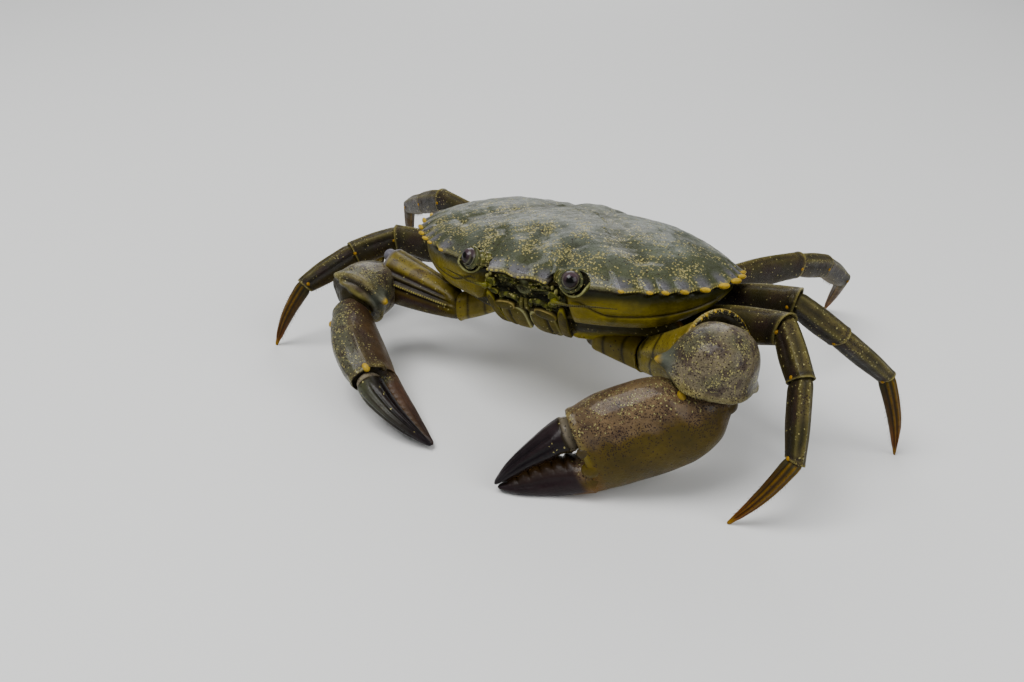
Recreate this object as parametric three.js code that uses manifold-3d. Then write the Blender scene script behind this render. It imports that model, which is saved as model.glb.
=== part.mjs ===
// Shore crab, Carcinus maenas: a life-size standing animal, in millimetres.
// The crab faces -Y, its left side is +X, and +Z is up. It stands on the floor on eight leg tips
// and on the undersides of its two claws. The frame's origin is under the middle of the whole crab.
import * as THREE from "three";
import { mergeVertices } from "three/addons/utils/BufferGeometryUtils.js";
import Module from "manifold-3d";

// ---------------------------------------------------------------- driving dimensions
const SHELL_WIDTH = 70; // carapace across its side teeth
const SHELL_FRONT = 0.329 * SHELL_WIDTH; // from the widest line forward to the brow
const SHELL_BACK = 0.421 * SHELL_WIDTH; // from the widest line back to the rear margin
const DOME_HEIGHT = 0.106 * SHELL_WIDTH;
const RIM_HEIGHT = 33.85; // of the carapace's rim over the floor
const NOSE_UP = THREE.MathUtils.degToRad(2.96);
const LEFT_UP = THREE.MathUtils.degToRad(2.17);
const GAP = 0.3; // clearance between pieces that meet

// Polar angles of the side teeth, in degrees forward of the widest line.
const TEETH = [44.5, 35, 30, 24, 17, 9.5, 3, -2, -7.5];
const TOOTH_RISE = 1.3;
const NOTCH = 0.75; // how far back along a tooth's outer edge its lowest point is
const EYE = new THREE.Vector3(11, -22.3, 0.9); // in the carapace's frame
const EYE_RADIUS = 2;

// Walking legs: lengths of hip, merus, carpus, propodus and dactyl for each pair, front to back.
const LEG_LENGTHS = [
  [8.5, 23, 11, 14, 17],
  [9, 23, 11, 15.5, 18.5],
  [8.5, 23.5, 12, 16, 19],
  [7.5, 18, 9, 13, 15.5],
];
const LEG_SIZE = [1, 1, 0.97, 0.82];
// Where each leg starts, and the way each segment points in degrees: azimuth forward or back of
// straight out (back is positive), and pitch. The dactyl's pitch follows from the floor.
const LEG_POSES = {
  left: [
    { hip: [18.5, 1, 22.5], azimuth: [-19, -16, -51, -64, -148], pitch: [13, 17, -28, -61] },
    { hip: [19.5, 6, 24], azimuth: [10, -27, 34, 46, 26], pitch: [11, 21, -36, -39] },
    { hip: [18.5, 11.5, 25], azimuth: [33, 64, 74, 82, 116], pitch: [7, -2, -16, -29] },
    { hip: [15.5, 17, 25.5], azimuth: [70, 92, 100, 108, 120], pitch: [-4, -27, -14, -24] },
  ],
  right: [
    { hip: [-17.5, 0.5, 21], azimuth: [8, 2, -49, -73, -36], pitch: [18, -2, -16, -19] },
    { hip: [-18.5, 5.5, 22.5], azimuth: [11, 7, -3, -104, -128], pitch: [9, -16, -16, -24] },
    { hip: [-18, 11.5, 23.5], azimuth: [18, 16, 30, 37, 55], pitch: [6, 6, -21, -22] },
    { hip: [-15, 17, 24.5], azimuth: [59, 59, 51, 45, 26], pitch: [7, -10, -24, -31] },
  ],
};
// Half-depth and half-thickness of a full-size leg at the start, middle and end of each segment.
const LEG_SECTIONS = {
  hip: [[2.5, 2.2], [2.9, 2.2], [2.9, 2.1]],
  merus: [[2.9, 2.1], [3.7, 2.2], [3.2, 2.3]],
  carpus: [[2.7, 2.1], [3.1, 2.2], [2.9, 2.1]],
  propodus: [[2.6, 1.9], [2.7, 1.8], [2.0, 1.6]],
  dactyl: [[1.8, 1.5], [1.5, 1.2], [0.5, 0.5]],
};
const SEGMENTS = Object.keys(LEG_SECTIONS);

// Claws. The carpus is a knob between the elbow and the wrist, and the hand (palm and fixed
// finger) and the movable finger run from the wrist to the tip, bowed outwards between.
const CLAWS = {
  // heavy crusher, lying on the floor
  left: {
    hip: [10.5, -8.8, 19.2],
    knee: [21.5, -9, 18.5],
    elbow: [38.8, -16.2, 25.8],
    merus: [[3.4, 3.2], [6, 5.7], [8.7, 8.5]],
    carpus: { middle: [39.6, -19.8, 26.6], size: [7.4, 7.1, 7.4], spine: [31, -24, 27] },
    wrist: [39.3, -20, 18.8],
    tip: [8.6, -42.2, 1.6],
    up: [-0.35, -0.1, 0.92],
    bow: 0.8,
    // distance along the hand, lower edge, upper edge, half-thickness
    hand: [
      [-3, -3.2, 0.4, 2.4],
      [0, -6.8, 4.5, 4.6],
      [4, -8.8, 6, 5.7],
      [11, -9.6, 8.8, 6.6],
      [18, -9.2, 9.3, 6.6],
      [24.4, -8.7, 8.3, 5.4],
      [25, -8.4, -2.4, 3.9],
      [32, -6.4, -2, 3],
      [38, -3.4, -1.2, 2],
      [41.5, -0.9, -0.3, 0.7],
    ],
    finger: [
      [25.5, -1.4, 7.4, 3.6],
      [28, -1.4, 6.9, 3.8],
      [33.5, -1.4, 5, 3.1],
      [38.3, -0.6, 3, 2],
      [41.8, 0.1, 0.9, 0.7],
    ],
  },
  // slim cutter, its finger tips on the floor
  right: {
    hip: [-14, -7, 20.5],
    knee: [-21.5, -9.7, 17.3],
    elbow: [-41.2, -8.8, 19],
    merus: [[2.9, 2.8], [4.8, 3.9], [6.1, 4.6]],
    carpus: { middle: [-43.1, -16.3, 17.4], size: [6.1, 8.7, 6.2], spine: [-35.8, -19, 18.2] },
    wrist: [-42.7, -23, 15.3],
    tip: [-8.8, -37.6, 0.9],
    up: [-0.2, -0.82, 0.52],
    bow: 2.5,
    hand: [
      [0, -4.6, 3.4, 3.4],
      [4, -5.2, 5.6, 4.2],
      [10, -5.2, 7.4, 4.5],
      [15, -4.8, 7.7, 4.3],
      [19, -4.4, 7.2, 3.7],
      [19.6, -4.2, -0.2, 2.7],
      [27, -3.7, -0.2, 2],
      [33, -2.4, -0.2, 1.3],
      [38.8, -0.5, 0.1, 0.5],
    ],
    finger: [
      [20.1, 0.3, 7, 2.7],
      [23, 0.6, 7.4, 2.6],
      [29, 1, 6.4, 2],
      [34.8, 1, 4.1, 1.3],
      [39.2, 0.5, 1.1, 0.5],
    ],
  },
};

const COLOURS = {
  shell: 0x4d5238,
  belly: 0x8f8640,
  claw: 0x5d5a3c,
  finger: 0x2c2430,
  leg: 0x4f4a2c,
  toe: 0x7a4a1e,
  eye: 0x3a3440,
  mouth: 0x6d6a2c,
};

// ---------------------------------------------------------------- small helpers
const wasm = await Module();
wasm.setup();
const { clamp, lerp, smoothstep, degToRad } = THREE.MathUtils;
const vector = (p) => new THREE.Vector3(...p);
const crab = new THREE.Group();

// Adds one named solid to a group.
function addPiece(group, name, geometry, colour, roughness = 0.45) {
  const material = new THREE.MeshStandardMaterial({ color: colour, roughness, metalness: 0 });
  const piece = new THREE.Mesh(geometry, material);
  piece.name = name;
  group.add(piece);
}

// Six times the volume enclosed by an indexed surface: negative when it is inside out.
function signedVolume(points, faces) {
  let sum = 0;
  for (const [a, b, c] of faces) {
    sum += points[a].dot(new THREE.Vector3().crossVectors(points[b], points[c]));
  }
  return sum;
}

// A closed skin over rings of equal length. An end that is a single point closes to that point,
// and an end that is a ring is capped flat from its centre.
function loft(rings) {
  const sides = Math.max(...rings.map((ring) => ring.length));
  const body = rings.filter((ring) => ring.length === sides);
  const points = body.flat();
  const faces = [];
  for (let i = 0; i + 1 < body.length; i += 1) {
    for (let j = 0; j < sides; j += 1) {
      const k = (j + 1) % sides;
      const [a, b] = [i * sides + j, i * sides + k];
      faces.push([a, b, b + sides], [a, b + sides, a + sides]);
    }
  }
  const pole = (ring, end) =>
    end.length === 1
      ? end[0]
      : ring.reduce((sum, p) => sum.add(p), new THREE.Vector3()).divideScalar(sides);
  const first = points.push(pole(body[0], rings[0])) - 1;
  const last = points.push(pole(body.at(-1), rings.at(-1))) - 1;
  const top = (body.length - 1) * sides;
  for (let j = 0; j < sides; j += 1) {
    const k = (j + 1) % sides;
    faces.push([first, k, j], [last, top + j, top + k]);
  }
  if (signedVolume(points, faces) < 0) faces.forEach((face) => face.reverse());
  return new THREE.BufferGeometry().setFromPoints(points).setIndex(faces.flat());
}

// A rounded section: points at centre + side * cos + up * sin, squared off by the power.
function section(centre, side, up, halfSide, halfUp, count, power = 2) {
  return Array.from({ length: count }, (_, j) => {
    const angle = (2 * Math.PI * j) / count;
    const [c, s] = [Math.cos(angle), Math.sin(angle)];
    const reach = (Math.abs(c) ** power + Math.abs(s) ** power) ** (-1 / power);
    return centre
      .clone()
      .addScaledVector(side, halfSide * reach * c)
      .addScaledVector(up, halfUp * reach * s);
  });
}

function ellipsoid(middle, size, grow = 0, columns = 14, rows = 9) {
  const solid = new THREE.SphereGeometry(1, columns, rows);
  solid.scale(...size.map((half) => half + grow)).translate(...middle);
  return solid;
}

function toSolid(geometry) {
  const plain = geometry.clone();
  plain.deleteAttribute("normal");
  plain.deleteAttribute("uv");
  const merged = mergeVertices(plain, 1e-4);
  return new wasm.Manifold(
    new wasm.Mesh({
      numProp: 3,
      vertProperties: merged.attributes.position.array,
      triVerts: new Uint32Array(merged.index.array),
    }),
  );
}

function toGeometry(solid) {
  const { vertProperties, triVerts } = solid.getMesh();
  return new THREE.BufferGeometry()
    .setAttribute("position", new THREE.BufferAttribute(vertProperties, 3))
    .setIndex(new THREE.BufferAttribute(triVerts, 1));
}

// The geometry less each of the tools, with any crumbs that the cuts leave dropped.
function cut(geometry, ...tools) {
  const solid = tools.reduce((left, tool) => left.subtract(toSolid(tool)), toSolid(geometry));
  const lumps = solid.decompose().sort((a, b) => b.volume() - a.volume());
  return toGeometry(lumps[0]);
}

const join = (a, b) => toGeometry(toSolid(a).add(toSolid(b)));

// Everything below the floor: cutting with it leaves a small flat where a piece touches down.
const FLOOR = new THREE.BoxGeometry(400, 400, 40).translate(0, 0, -20);

// ---------------------------------------------------------------- carapace and belly
// The body's outline is a rounded diamond, fuller in front: its radius at a polar angle, where
// 0 is the crab's left and -90 degrees is straight ahead.
function outline(angle) {
  const [c, s] = [Math.abs(Math.cos(angle)), Math.sin(angle)];
  const [reach, power] = s < 0 ? [SHELL_FRONT, 2.05] : [SHELL_BACK, 1.57];
  return ((c / (SHELL_WIDTH / 2)) ** power + (Math.abs(s) / reach) ** power) ** (-1 / power);
}

// Degrees forward of the widest line, the same on both sides of the crab.
function forwardAngle(angle) {
  return THREE.MathUtils.radToDeg(Math.atan2(-Math.sin(angle), Math.abs(Math.cos(angle))));
}

// How far the rim stands out: a cusp at each side tooth, and three low lobes along the brow.
function rimRelief(angle) {
  const f = forwardAngle(angle);
  if (f > 74) return 0.5 + 0.6 * Math.cos(degToRad((90 - f) * 22.5));
  for (let i = 0; i + 1 < TEETH.length; i += 1) {
    const [front, back] = [TEETH[i], TEETH[i + 1]];
    if (f <= front && f >= back) {
      const along = (front - f) / (front - back);
      const depth = along < NOTCH ? along / NOTCH : (1 - along) / (1 - NOTCH);
      return TOOTH_RISE * (0.6 - depth);
    }
  }
  return f < TEETH.at(-1) ? TOOTH_RISE * 0.6 * clamp((f + 13) / 5.5, 0, 1) : 0;
}

const rimLevel = (angle) => {
  const back = Math.max(0, (outline(angle) * Math.sin(angle)) / SHELL_BACK);
  return -0.091 * SHELL_WIDTH * back ** 1.5;
};
// Height of the side wall under the rim: tall below the eyes, thin over the hind legs.
const wallHeight = (angle) => 1.3 + 7 * smoothstep(forwardAngle(angle), -30, 35);

// Polar angles round the body: every tooth tip and notch, and even steps elsewhere.
function bodyAngles() {
  const half = [89, 86, 82, 78, 75, 72, 68, 64, 60, 56, 52, 48];
  TEETH.forEach((tip, i) => {
    half.push(tip);
    if (i + 1 < TEETH.length) half.push(tip + NOTCH * (TEETH[i + 1] - tip));
  });
  half.push(-13, -20, -28, -36, -44, -52, -60, -68, -76, -84);
  const left = half.map((f) => degToRad(-f));
  const right = half.map((f) => degToRad(f - 180)).reverse();
  return [...left, ...right];
}
const ANGLES = bodyAngles();

// One ring round the body: share of the outline, height over the rim, and how much of the rim's
// relief it takes.
function bodyRing(share, level, relief = 0, angles = ANGLES) {
  return angles.map((angle) => {
    const k = typeof share === "function" ? share(angle) : share;
    const radius = k * outline(angle) + relief * rimRelief(angle);
    const [x, y] = [radius * Math.cos(angle), radius * Math.sin(angle)];
    return new THREE.Vector3(x, y, level(angle, k));
  });
}

const CEILING = -4.3; // underside of the carapace over the body
const HEM = 0.9; // share of the outline at the side wall's lower edge
// Height of the joint between the carapace and the body, at a share of the outline.
function seamLevel(angle, share) {
  const hem = rimLevel(angle) - wallHeight(angle);
  return lerp(CEILING, hem, clamp((share - 0.6) / (HEM - 0.6), 0, 1));
}

function carapaceSolid() {
  const dome = (angle, share) =>
    rimLevel(angle) * share ** 1.5 + DOME_HEIGHT * Math.max(0, 1 - share ** 2.4) ** 0.8;
  const rings = [[new THREE.Vector3(0, 0, DOME_HEIGHT)]];
  for (const share of [0.28, 0.52, 0.72, 0.86, 0.95]) rings.push(bodyRing(share, dome, share ** 20));
  rings.push(bodyRing(1, (angle) => rimLevel(angle) + 0.3, 1));
  rings.push(bodyRing(0.99, (angle) => rimLevel(angle) - 0.7, 0.8));
  rings.push(bodyRing(0.955, (angle) => rimLevel(angle) - 0.5 * wallHeight(angle)));
  rings.push(bodyRing(HEM, seamLevel));
  rings.push(bodyRing(0.6, seamLevel), [new THREE.Vector3(0, 0, CEILING)]);
  return loft(rings);
}

// How far round to the front, to the mouth, and to the back, an angle is, from 0 to 1.
const frontShare = (angle) => smoothstep(forwardAngle(angle), 10, 28);
const mouthShare = (angle) => smoothstep(forwardAngle(angle), 55, 75);
const backShare = (angle) => smoothstep(-forwardAngle(angle), -8, 52);
// The body under the carapace: flanks that slope in over the claws, a hollow in front for the
// mouthparts, and a breast plate that the legs start round.
function bellySolid(grow = 0) {
  const angles = ANGLES.filter((_, i) => i % 2 === 0);
  const spread = grow / 20; // share of the outline that adds at least the growth all round
  const ring = (side, front, mouth, back) => (angle) =>
    side + front * frontShare(angle) - mouth * mouthShare(angle) + back * backShare(angle) + spread;
  const top = ring(0.5, 0.35, 0.13, 0.3);
  const lift = grow - GAP;
  return loft([
    [new THREE.Vector3(0, 0, CEILING + lift)],
    bodyRing(top, (angle, share) => seamLevel(angle, share - spread) + lift, 0, angles),
    bodyRing(ring(0.46, 0.31, 0.16, 0.27), () => -11, 0, angles),
    bodyRing(ring(0.4, 0.16, 0.16, 0.22), () => -15.2 - grow, 0, angles),
    [new THREE.Vector3(0, 0, -16.2 - grow)],
  ]);
}

// The mouthparts and the face round them: a block whose front leans back going down, and more
// steeply below. Rows give its height, half-width and how far forward it reaches.
function mouthSolid(grow = 0) {
  const rows = [
    [-2.9, 6.6, 20.4],
    [-5, 8.2, 20.2],
    [-9, 8.8, 18.2],
    [-12.5, 8.4, 15.5],
    [-14.5, 7.2, 12.6],
    [-15.7, 5, 10.2],
  ];
  const last = rows.length - 1;
  return loft(
    rows.map(([level, half, reach], i) => {
      const spread = i === 0 ? grow : i === last ? -grow : 0;
      const back = Math.min(12, reach - 3);
      const middle = new THREE.Vector3(0, -(reach + back) / 2, level + spread);
      const [side, ahead] = [new THREE.Vector3(1, 0, 0), new THREE.Vector3(0, 1, 0)];
      return section(middle, side, ahead, half + grow, (reach - back) / 2 + grow, 16, 3);
    }),
  );
}

// The narrow tail of a male, which comes from under the rear rim and lies folded forward along
// the breast plate. Rows give how far back it is, its half-width and its height.
function abdomenSolid() {
  const half = 0.9;
  const rows = [
    [25.4, 4.6, -9.4],
    [22.6, 6, -13.4],
    [18.6, 6.2, -16.6],
    [13, 5.2, -17.2],
    [7, 3.6, -17.4],
    [1, 2.6, -17.3],
    [-3.5, 1.2, -17.1],
  ];
  const [side, up] = [new THREE.Vector3(1, 0, 0), new THREE.Vector3(0, 0, 1)];
  const tail = loft(
    rows.map(([y, wide, level]) => section(new THREE.Vector3(0, y, level), side, up, wide, half, 10, 3)),
  );
  return cut(tail, bellySolid(GAP));
}

// ---------------------------------------------------------------- eyes and feelers
const onSide = (point, sign) => new THREE.Vector3(point.x * sign, point.y, point.z);

function eyeballSolid(sign) {
  return ellipsoid(onSide(EYE, sign).toArray(), [EYE_RADIUS, EYE_RADIUS, EYE_RADIUS * 1.05], 0, 10, 8);
}

// The hollow that the eye and its stalk lie in: a socket open in front, and a slot inwards.
function orbitTools(sign) {
  const at = (x, y, z) => onSide(EYE, sign).add(new THREE.Vector3(x * sign, y, z)).toArray();
  return [ellipsoid(at(0.2, -0.9, 0.2), [3.3, 3.6, 3.1]), ellipsoid(at(-2.6, 0.8, -0.3), [3.8, 2.8, 2.3])];
}

// A short round stalk that carries the eye out from under the brow.
function stalkSolid(sign) {
  const out = new THREE.Vector3(0.85 * sign, -0.5, 0.1).normalize();
  const up = new THREE.Vector3(0, 0, 1);
  const side = new THREE.Vector3().crossVectors(out, up).normalize();
  const end = onSide(EYE, sign);
  const radii = [[-4.6, 1], [-3.4, 1.3], [-2, 1.5], [0, 1.6]];
  const stalk = loft(
    radii.map(([along, radius]) =>
      section(end.clone().addScaledVector(out, along), side, up, radius, radius, 10),
    ),
  );
  return cut(stalk, ellipsoid(end.toArray(), [EYE_RADIUS, EYE_RADIUS, EYE_RADIUS * 1.05], 0.25, 18, 12));
}

// A jointed base and a thin tapering whip, laid back under the eye along the side wall.
function feelerSolid(sign) {
  const route = new THREE.CatmullRomCurve3(
    [
      [7, -21.2, -4.4],
      [8.2, -22.6, -4],
      [11, -22.6, -3.9],
      [14, -21.6, -3.7],
      [17, -20.6, -3.6],
      [19.6, -19.4, -3.7],
    ].map(([x, y, z]) => new THREE.Vector3(x * sign, y, z)),
  );
  const radius = (t) => (t < 0.25 ? 0.95 : 0.45 - 0.2 * t);
  const stations = [0, 0.12, 0.24, 0.26, 0.45, 0.65, 0.85, 1];
  const feeler = loft(
    stations.map((t) => {
      const ahead = route.getTangentAt(t);
      const side = new THREE.Vector3().crossVectors(ahead, new THREE.Vector3(0, 0, 1)).normalize();
      const up = new THREE.Vector3().crossVectors(side, ahead);
      return section(route.getPointAt(t), side, up, radius(t), radius(t), 6);
    }),
  );
  return cut(feeler, mouthSolid(GAP), carapaceSolid().translate(0, -GAP, 0));
}

// ---------------------------------------------------------------- limbs
// Joint points of a leg, from its hip to the tip of its dactyl on the floor.
function legJoints({ hip, azimuth, pitch }, lengths, sign) {
  const joints = [vector(hip)];
  lengths.forEach((length, i) => {
    const from = joints.at(-1);
    const rise = i < pitch.length ? degToRad(pitch[i]) : -Math.asin(Math.min(1, from.z / length));
    const turn = degToRad(azimuth[i]);
    const level = Math.cos(rise) * length;
    const step = [sign * Math.cos(turn) * level, Math.sin(turn) * level, Math.sin(rise) * length];
    joints.push(from.clone().add(vector(step)));
  });
  return joints;
}

// The way across a limb at each segment, carried along without twist from a level start.
function acrossDirections(joints, first) {
  let across = first.clone();
  return joints.slice(1).map((joint, i) => {
    const along = joint.clone().sub(joints[i]).normalize();
    across = across.clone().addScaledVector(along, -across.dot(along)).normalize();
    return { along, across, deep: new THREE.Vector3().crossVectors(across, along) };
  });
}

// Normal of the plane that shares a bend evenly between two segments.
const mitre = (a, b) => a.clone().add(b).normalize();

// One limb segment between two joints. Its sides run straight from one mitre plane to the
// other, and its section changes smoothly between the three sizes.
function segmentSolid(start, end, way, planes, sizes, { count = 8, tip = false, scale = 1 } = {}) {
  const length = start.distanceTo(end);
  const stations = tip ? [0, 0.15, 0.4, 0.65, 0.88] : [0, 0.15, 0.4, 0.7, 1];
  const sizeAt = (t, k) => {
    const [a, b, c] = sizes.map((size) => size[k] * scale);
    return t < 0.5 ? lerp(a, b, smoothstep(t, 0, 0.5)) : lerp(b, c, smoothstep(t, 0.5, 1));
  };
  const hit = (point, at, normal, inset) =>
    (at.clone().sub(point).dot(normal) + inset) / way.along.dot(normal);
  const rings = stations.map((t) =>
    section(start, way.across, way.deep, sizeAt(t, 1), sizeAt(t, 0), count, 2.4).map((p) => {
      const low = hit(p, start, planes[0], GAP / 2);
      const high = tip ? length : hit(p, end, planes[1], -GAP / 2);
      return p.addScaledVector(way.along, lerp(low, high, t));
    }),
  );
  if (tip) rings.push([end.clone().addScaledVector(way.along, 0.15)]);
  return loft(rings);
}

// The body stands tilted over the floor. The limbs are laid out from the floor, so the shapes
// that trim them are carried to the same place.
const bodyGroup = new THREE.Group();
bodyGroup.position.z = RIM_HEIGHT;
bodyGroup.rotation.set(-NOSE_UP, -LEFT_UP, 0);
bodyGroup.updateMatrixWorld(true);
const bodyTools = [bellySolid(GAP), carapaceSolid().translate(0, 0, -GAP)];
bodyTools.forEach((tool) => tool.applyMatrix4(bodyGroup.matrixWorld));

function addLeg(side, index) {
  const sign = side === "left" ? 1 : -1;
  const pose = LEG_POSES[side][index];
  const joints = legJoints(pose, LEG_LENGTHS[index], sign);
  const turn = degToRad(pose.azimuth[1]);
  const level = new THREE.Vector3(-Math.sin(turn) * sign, Math.cos(turn), 0);
  const ways = acrossDirections(joints, level);
  SEGMENTS.forEach((segment, i) => {
    const tip = segment === "dactyl";
    const before = i === 0 ? ways[0].along : mitre(ways[i - 1].along, ways[i].along);
    const after = tip ? ways[i].along : mitre(ways[i].along, ways[i + 1].along);
    const sizes = LEG_SECTIONS[segment];
    const options = { tip, scale: LEG_SIZE[index] };
    let solid = segmentSolid(joints[i], joints[i + 1], ways[i], [before, after], sizes, options);
    if (i < 2) solid = cut(solid, ...bodyTools);
    if (tip) solid = cut(solid, FLOOR);
    const colour = tip ? COLOURS.toe : COLOURS.leg;
    addPiece(crab, `leg_${index + 1}_${segment}_${side}`, solid, colour);
  });
}

// A tapering body laid out along the hand: rows give the distance along it, its lower edge, its
// upper edge and its half-width.
function handLoft(rows, wrist, axis, count) {
  return loft(
    rows.map(([along, bottom, top, half]) => {
      const middle = wrist.clone().addScaledVector(axis.along, along);
      middle.addScaledVector(axis.up, (top + bottom) / 2);
      middle.addScaledVector(axis.side, axis.bow * Math.sin((Math.PI * along) / axis.length));
      return section(middle, axis.side, axis.up, half, (top - bottom) / 2, count, 2.2);
    }),
  );
}

function addClaw(side) {
  const claw = CLAWS[side];
  const [hip, knee, elbow, wrist, tip] = ["hip", "knee", "elbow", "wrist", "tip"].map((at) =>
    vector(claw[at]),
  );
  const name = (piece) => `claw_${piece}_${side}`;
  const ways = acrossDirections([hip, knee, elbow], new THREE.Vector3(0, 1, 0));
  const bend = mitre(ways[0].along, ways[1].along);
  const shell = claw.carpus;
  const knob = ellipsoid(shell.middle, shell.size, GAP, 14, 9);
  const [thin, , wide] = claw.merus;
  const options = { count: 12 };

  const hipSizes = [thin.map((half) => 0.8 * half), thin, thin];
  const hipSolid = segmentSolid(hip, knee, ways[0], [ways[0].along, bend], hipSizes, options);
  addPiece(crab, name("hip"), cut(hipSolid, ...bodyTools), COLOURS.belly);

  const merus = segmentSolid(knee, elbow, ways[1], [bend, ways[1].along], claw.merus, options);
  const reach = tip.clone().sub(wrist);
  const axis = { along: reach.clone().normalize(), length: reach.length(), bow: claw.bow };
  axis.up = vector(claw.up);
  axis.up.addScaledVector(axis.along, -axis.up.dot(axis.along)).normalize();
  axis.side = new THREE.Vector3().crossVectors(axis.along, axis.up);
  const hand = cut(handLoft(claw.hand, wrist, axis, 14), knob, FLOOR);
  const grown = claw.hand.map(([u, low, high, half]) => [u, low - GAP, high + GAP, half + GAP]);
  const shifted = (by) => handLoft(grown, wrist.clone().addScaledVector(axis.along, by), axis, 14);
  addPiece(crab, name("merus"), cut(merus, knob, shifted(-GAP), ...bodyTools), COLOURS.belly);

  const spineTip = vector(shell.spine);
  const spineWay = spineTip.clone().sub(vector(shell.middle)).normalize();
  const spineSide = new THREE.Vector3(0, 0, 1).cross(spineWay).normalize();
  const spineUp = new THREE.Vector3().crossVectors(spineWay, spineSide);
  const spine = loft([
    section(vector(shell.middle), spineSide, spineUp, wide[0] * 0.5, wide[0] * 0.5, 8),
    section(spineTip.clone().lerp(vector(shell.middle), 0.25), spineSide, spineUp, 1.3, 1.3, 8),
    [spineTip],
  ]);
  const carpus = join(ellipsoid(shell.middle, shell.size, 0, 14, 9), spine);
  addPiece(crab, name("carpus"), cut(carpus, shifted(-GAP)), COLOURS.claw);
  addPiece(crab, name("hand"), hand, COLOURS.claw);
  const finger = cut(handLoft(claw.finger, wrist, axis, 12), shifted(0), shifted(GAP), FLOOR);
  addPiece(crab, name("finger"), finger, COLOURS.finger, 0.35);
}

// ---------------------------------------------------------------- assembly
const shellTools = [...orbitTools(1), ...orbitTools(-1), mouthSolid(GAP)];
addPiece(bodyGroup, "carapace", cut(carapaceSolid(), ...shellTools), COLOURS.shell);
addPiece(bodyGroup, "belly", bellySolid(), COLOURS.belly);
addPiece(bodyGroup, "mouthparts", cut(mouthSolid(), bellySolid(GAP)), COLOURS.mouth);
addPiece(bodyGroup, "abdomen", abdomenSolid(), COLOURS.belly);
for (const [side, sign] of [["left", 1], ["right", -1]]) {
  addPiece(bodyGroup, `eye_${side}`, eyeballSolid(sign), COLOURS.eye, 0.15);
  addPiece(bodyGroup, `eye_stalk_${side}`, stalkSolid(sign), COLOURS.mouth);
  addPiece(bodyGroup, `antenna_${side}`, feelerSolid(sign), COLOURS.mouth);
  addClaw(side);
  for (let index = 0; index < LEG_LENGTHS.length; index += 1) addLeg(side, index);
}
crab.add(bodyGroup);

// The frame's origin is on the floor, under the middle of the crab's own box.
crab.updateMatrixWorld(true);
const middle = new THREE.Box3().setFromObject(crab, true).getCenter(new THREE.Vector3());
crab.position.set(-middle.x, -middle.y, 0);

export default crab;
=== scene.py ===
# %% [markdown]
# # A shore crab, life size
#
# A shore crab wears its skeleton outside: a domed back plate, a flatter breast plate, and limbs
# that are tubes of hard shell hinged end to end. This lesson builds each plate and each tube as a
# surface worked out with numpy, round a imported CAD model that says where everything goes. The CAD
# solids keep the true sizes and the clearances; the surfaces made here carry the looks: teeth,
# grooves, beads, rims, and the colours of wet shell.

import bpy
import numpy as np
from mathutils import Matrix, Vector


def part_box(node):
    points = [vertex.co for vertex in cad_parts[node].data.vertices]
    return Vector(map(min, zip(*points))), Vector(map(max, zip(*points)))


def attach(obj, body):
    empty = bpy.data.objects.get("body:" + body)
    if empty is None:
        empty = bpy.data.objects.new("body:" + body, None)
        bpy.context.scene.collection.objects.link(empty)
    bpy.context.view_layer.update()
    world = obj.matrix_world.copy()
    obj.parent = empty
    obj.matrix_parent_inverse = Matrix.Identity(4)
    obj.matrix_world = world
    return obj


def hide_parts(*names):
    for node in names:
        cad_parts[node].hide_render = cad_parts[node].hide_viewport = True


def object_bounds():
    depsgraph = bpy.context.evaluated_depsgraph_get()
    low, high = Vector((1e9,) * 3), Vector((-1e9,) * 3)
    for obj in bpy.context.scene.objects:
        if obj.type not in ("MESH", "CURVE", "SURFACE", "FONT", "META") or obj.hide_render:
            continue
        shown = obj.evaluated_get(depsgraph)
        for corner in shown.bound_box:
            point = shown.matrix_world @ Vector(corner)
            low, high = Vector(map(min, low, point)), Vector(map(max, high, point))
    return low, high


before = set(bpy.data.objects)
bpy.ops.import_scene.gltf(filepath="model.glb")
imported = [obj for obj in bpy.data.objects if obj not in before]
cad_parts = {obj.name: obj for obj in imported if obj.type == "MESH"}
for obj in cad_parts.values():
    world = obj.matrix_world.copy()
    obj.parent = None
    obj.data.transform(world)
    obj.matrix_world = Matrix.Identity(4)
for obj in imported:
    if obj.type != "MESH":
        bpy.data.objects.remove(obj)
cad_low, cad_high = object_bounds()
print("CAD box in metres:", [round(v, 4) for v in cad_low], [round(v, 4) for v in cad_high])

# %% [markdown]
# ## Millimetres, and a few curves
#
# Everything is worked out in millimetres, the natural unit for a crab, and turned to metres when a
# mesh is made. Four small curves do most of the shaping: a soft step, a hill, a smooth line through
# known values, and a ripple that stands in for the unevenness of anything grown.

# %% Curves
MM = 0.001
DEG = np.pi / 180


def unit(vectors):
    """Each vector divided by its own length."""
    return vectors / np.linalg.norm(vectors, axis=-1, keepdims=True)


def step(x, low, high):
    """0 below low and 1 above high, joined by the cubic 3t^2 - 2t^3."""
    t = np.clip((x - low) / (high - low), 0, 1)
    return t * t * (3 - 2 * t)


def hill(x, centre, width):
    """1 at the centre and falling off as exp(-(distance / width)^2)."""
    return np.exp(-(((x - centre) / width) ** 2))


def mix(a, b, t):
    """a where t is 0 and b where t is 1, in a straight line between."""
    return a + (b - a) * t


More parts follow.
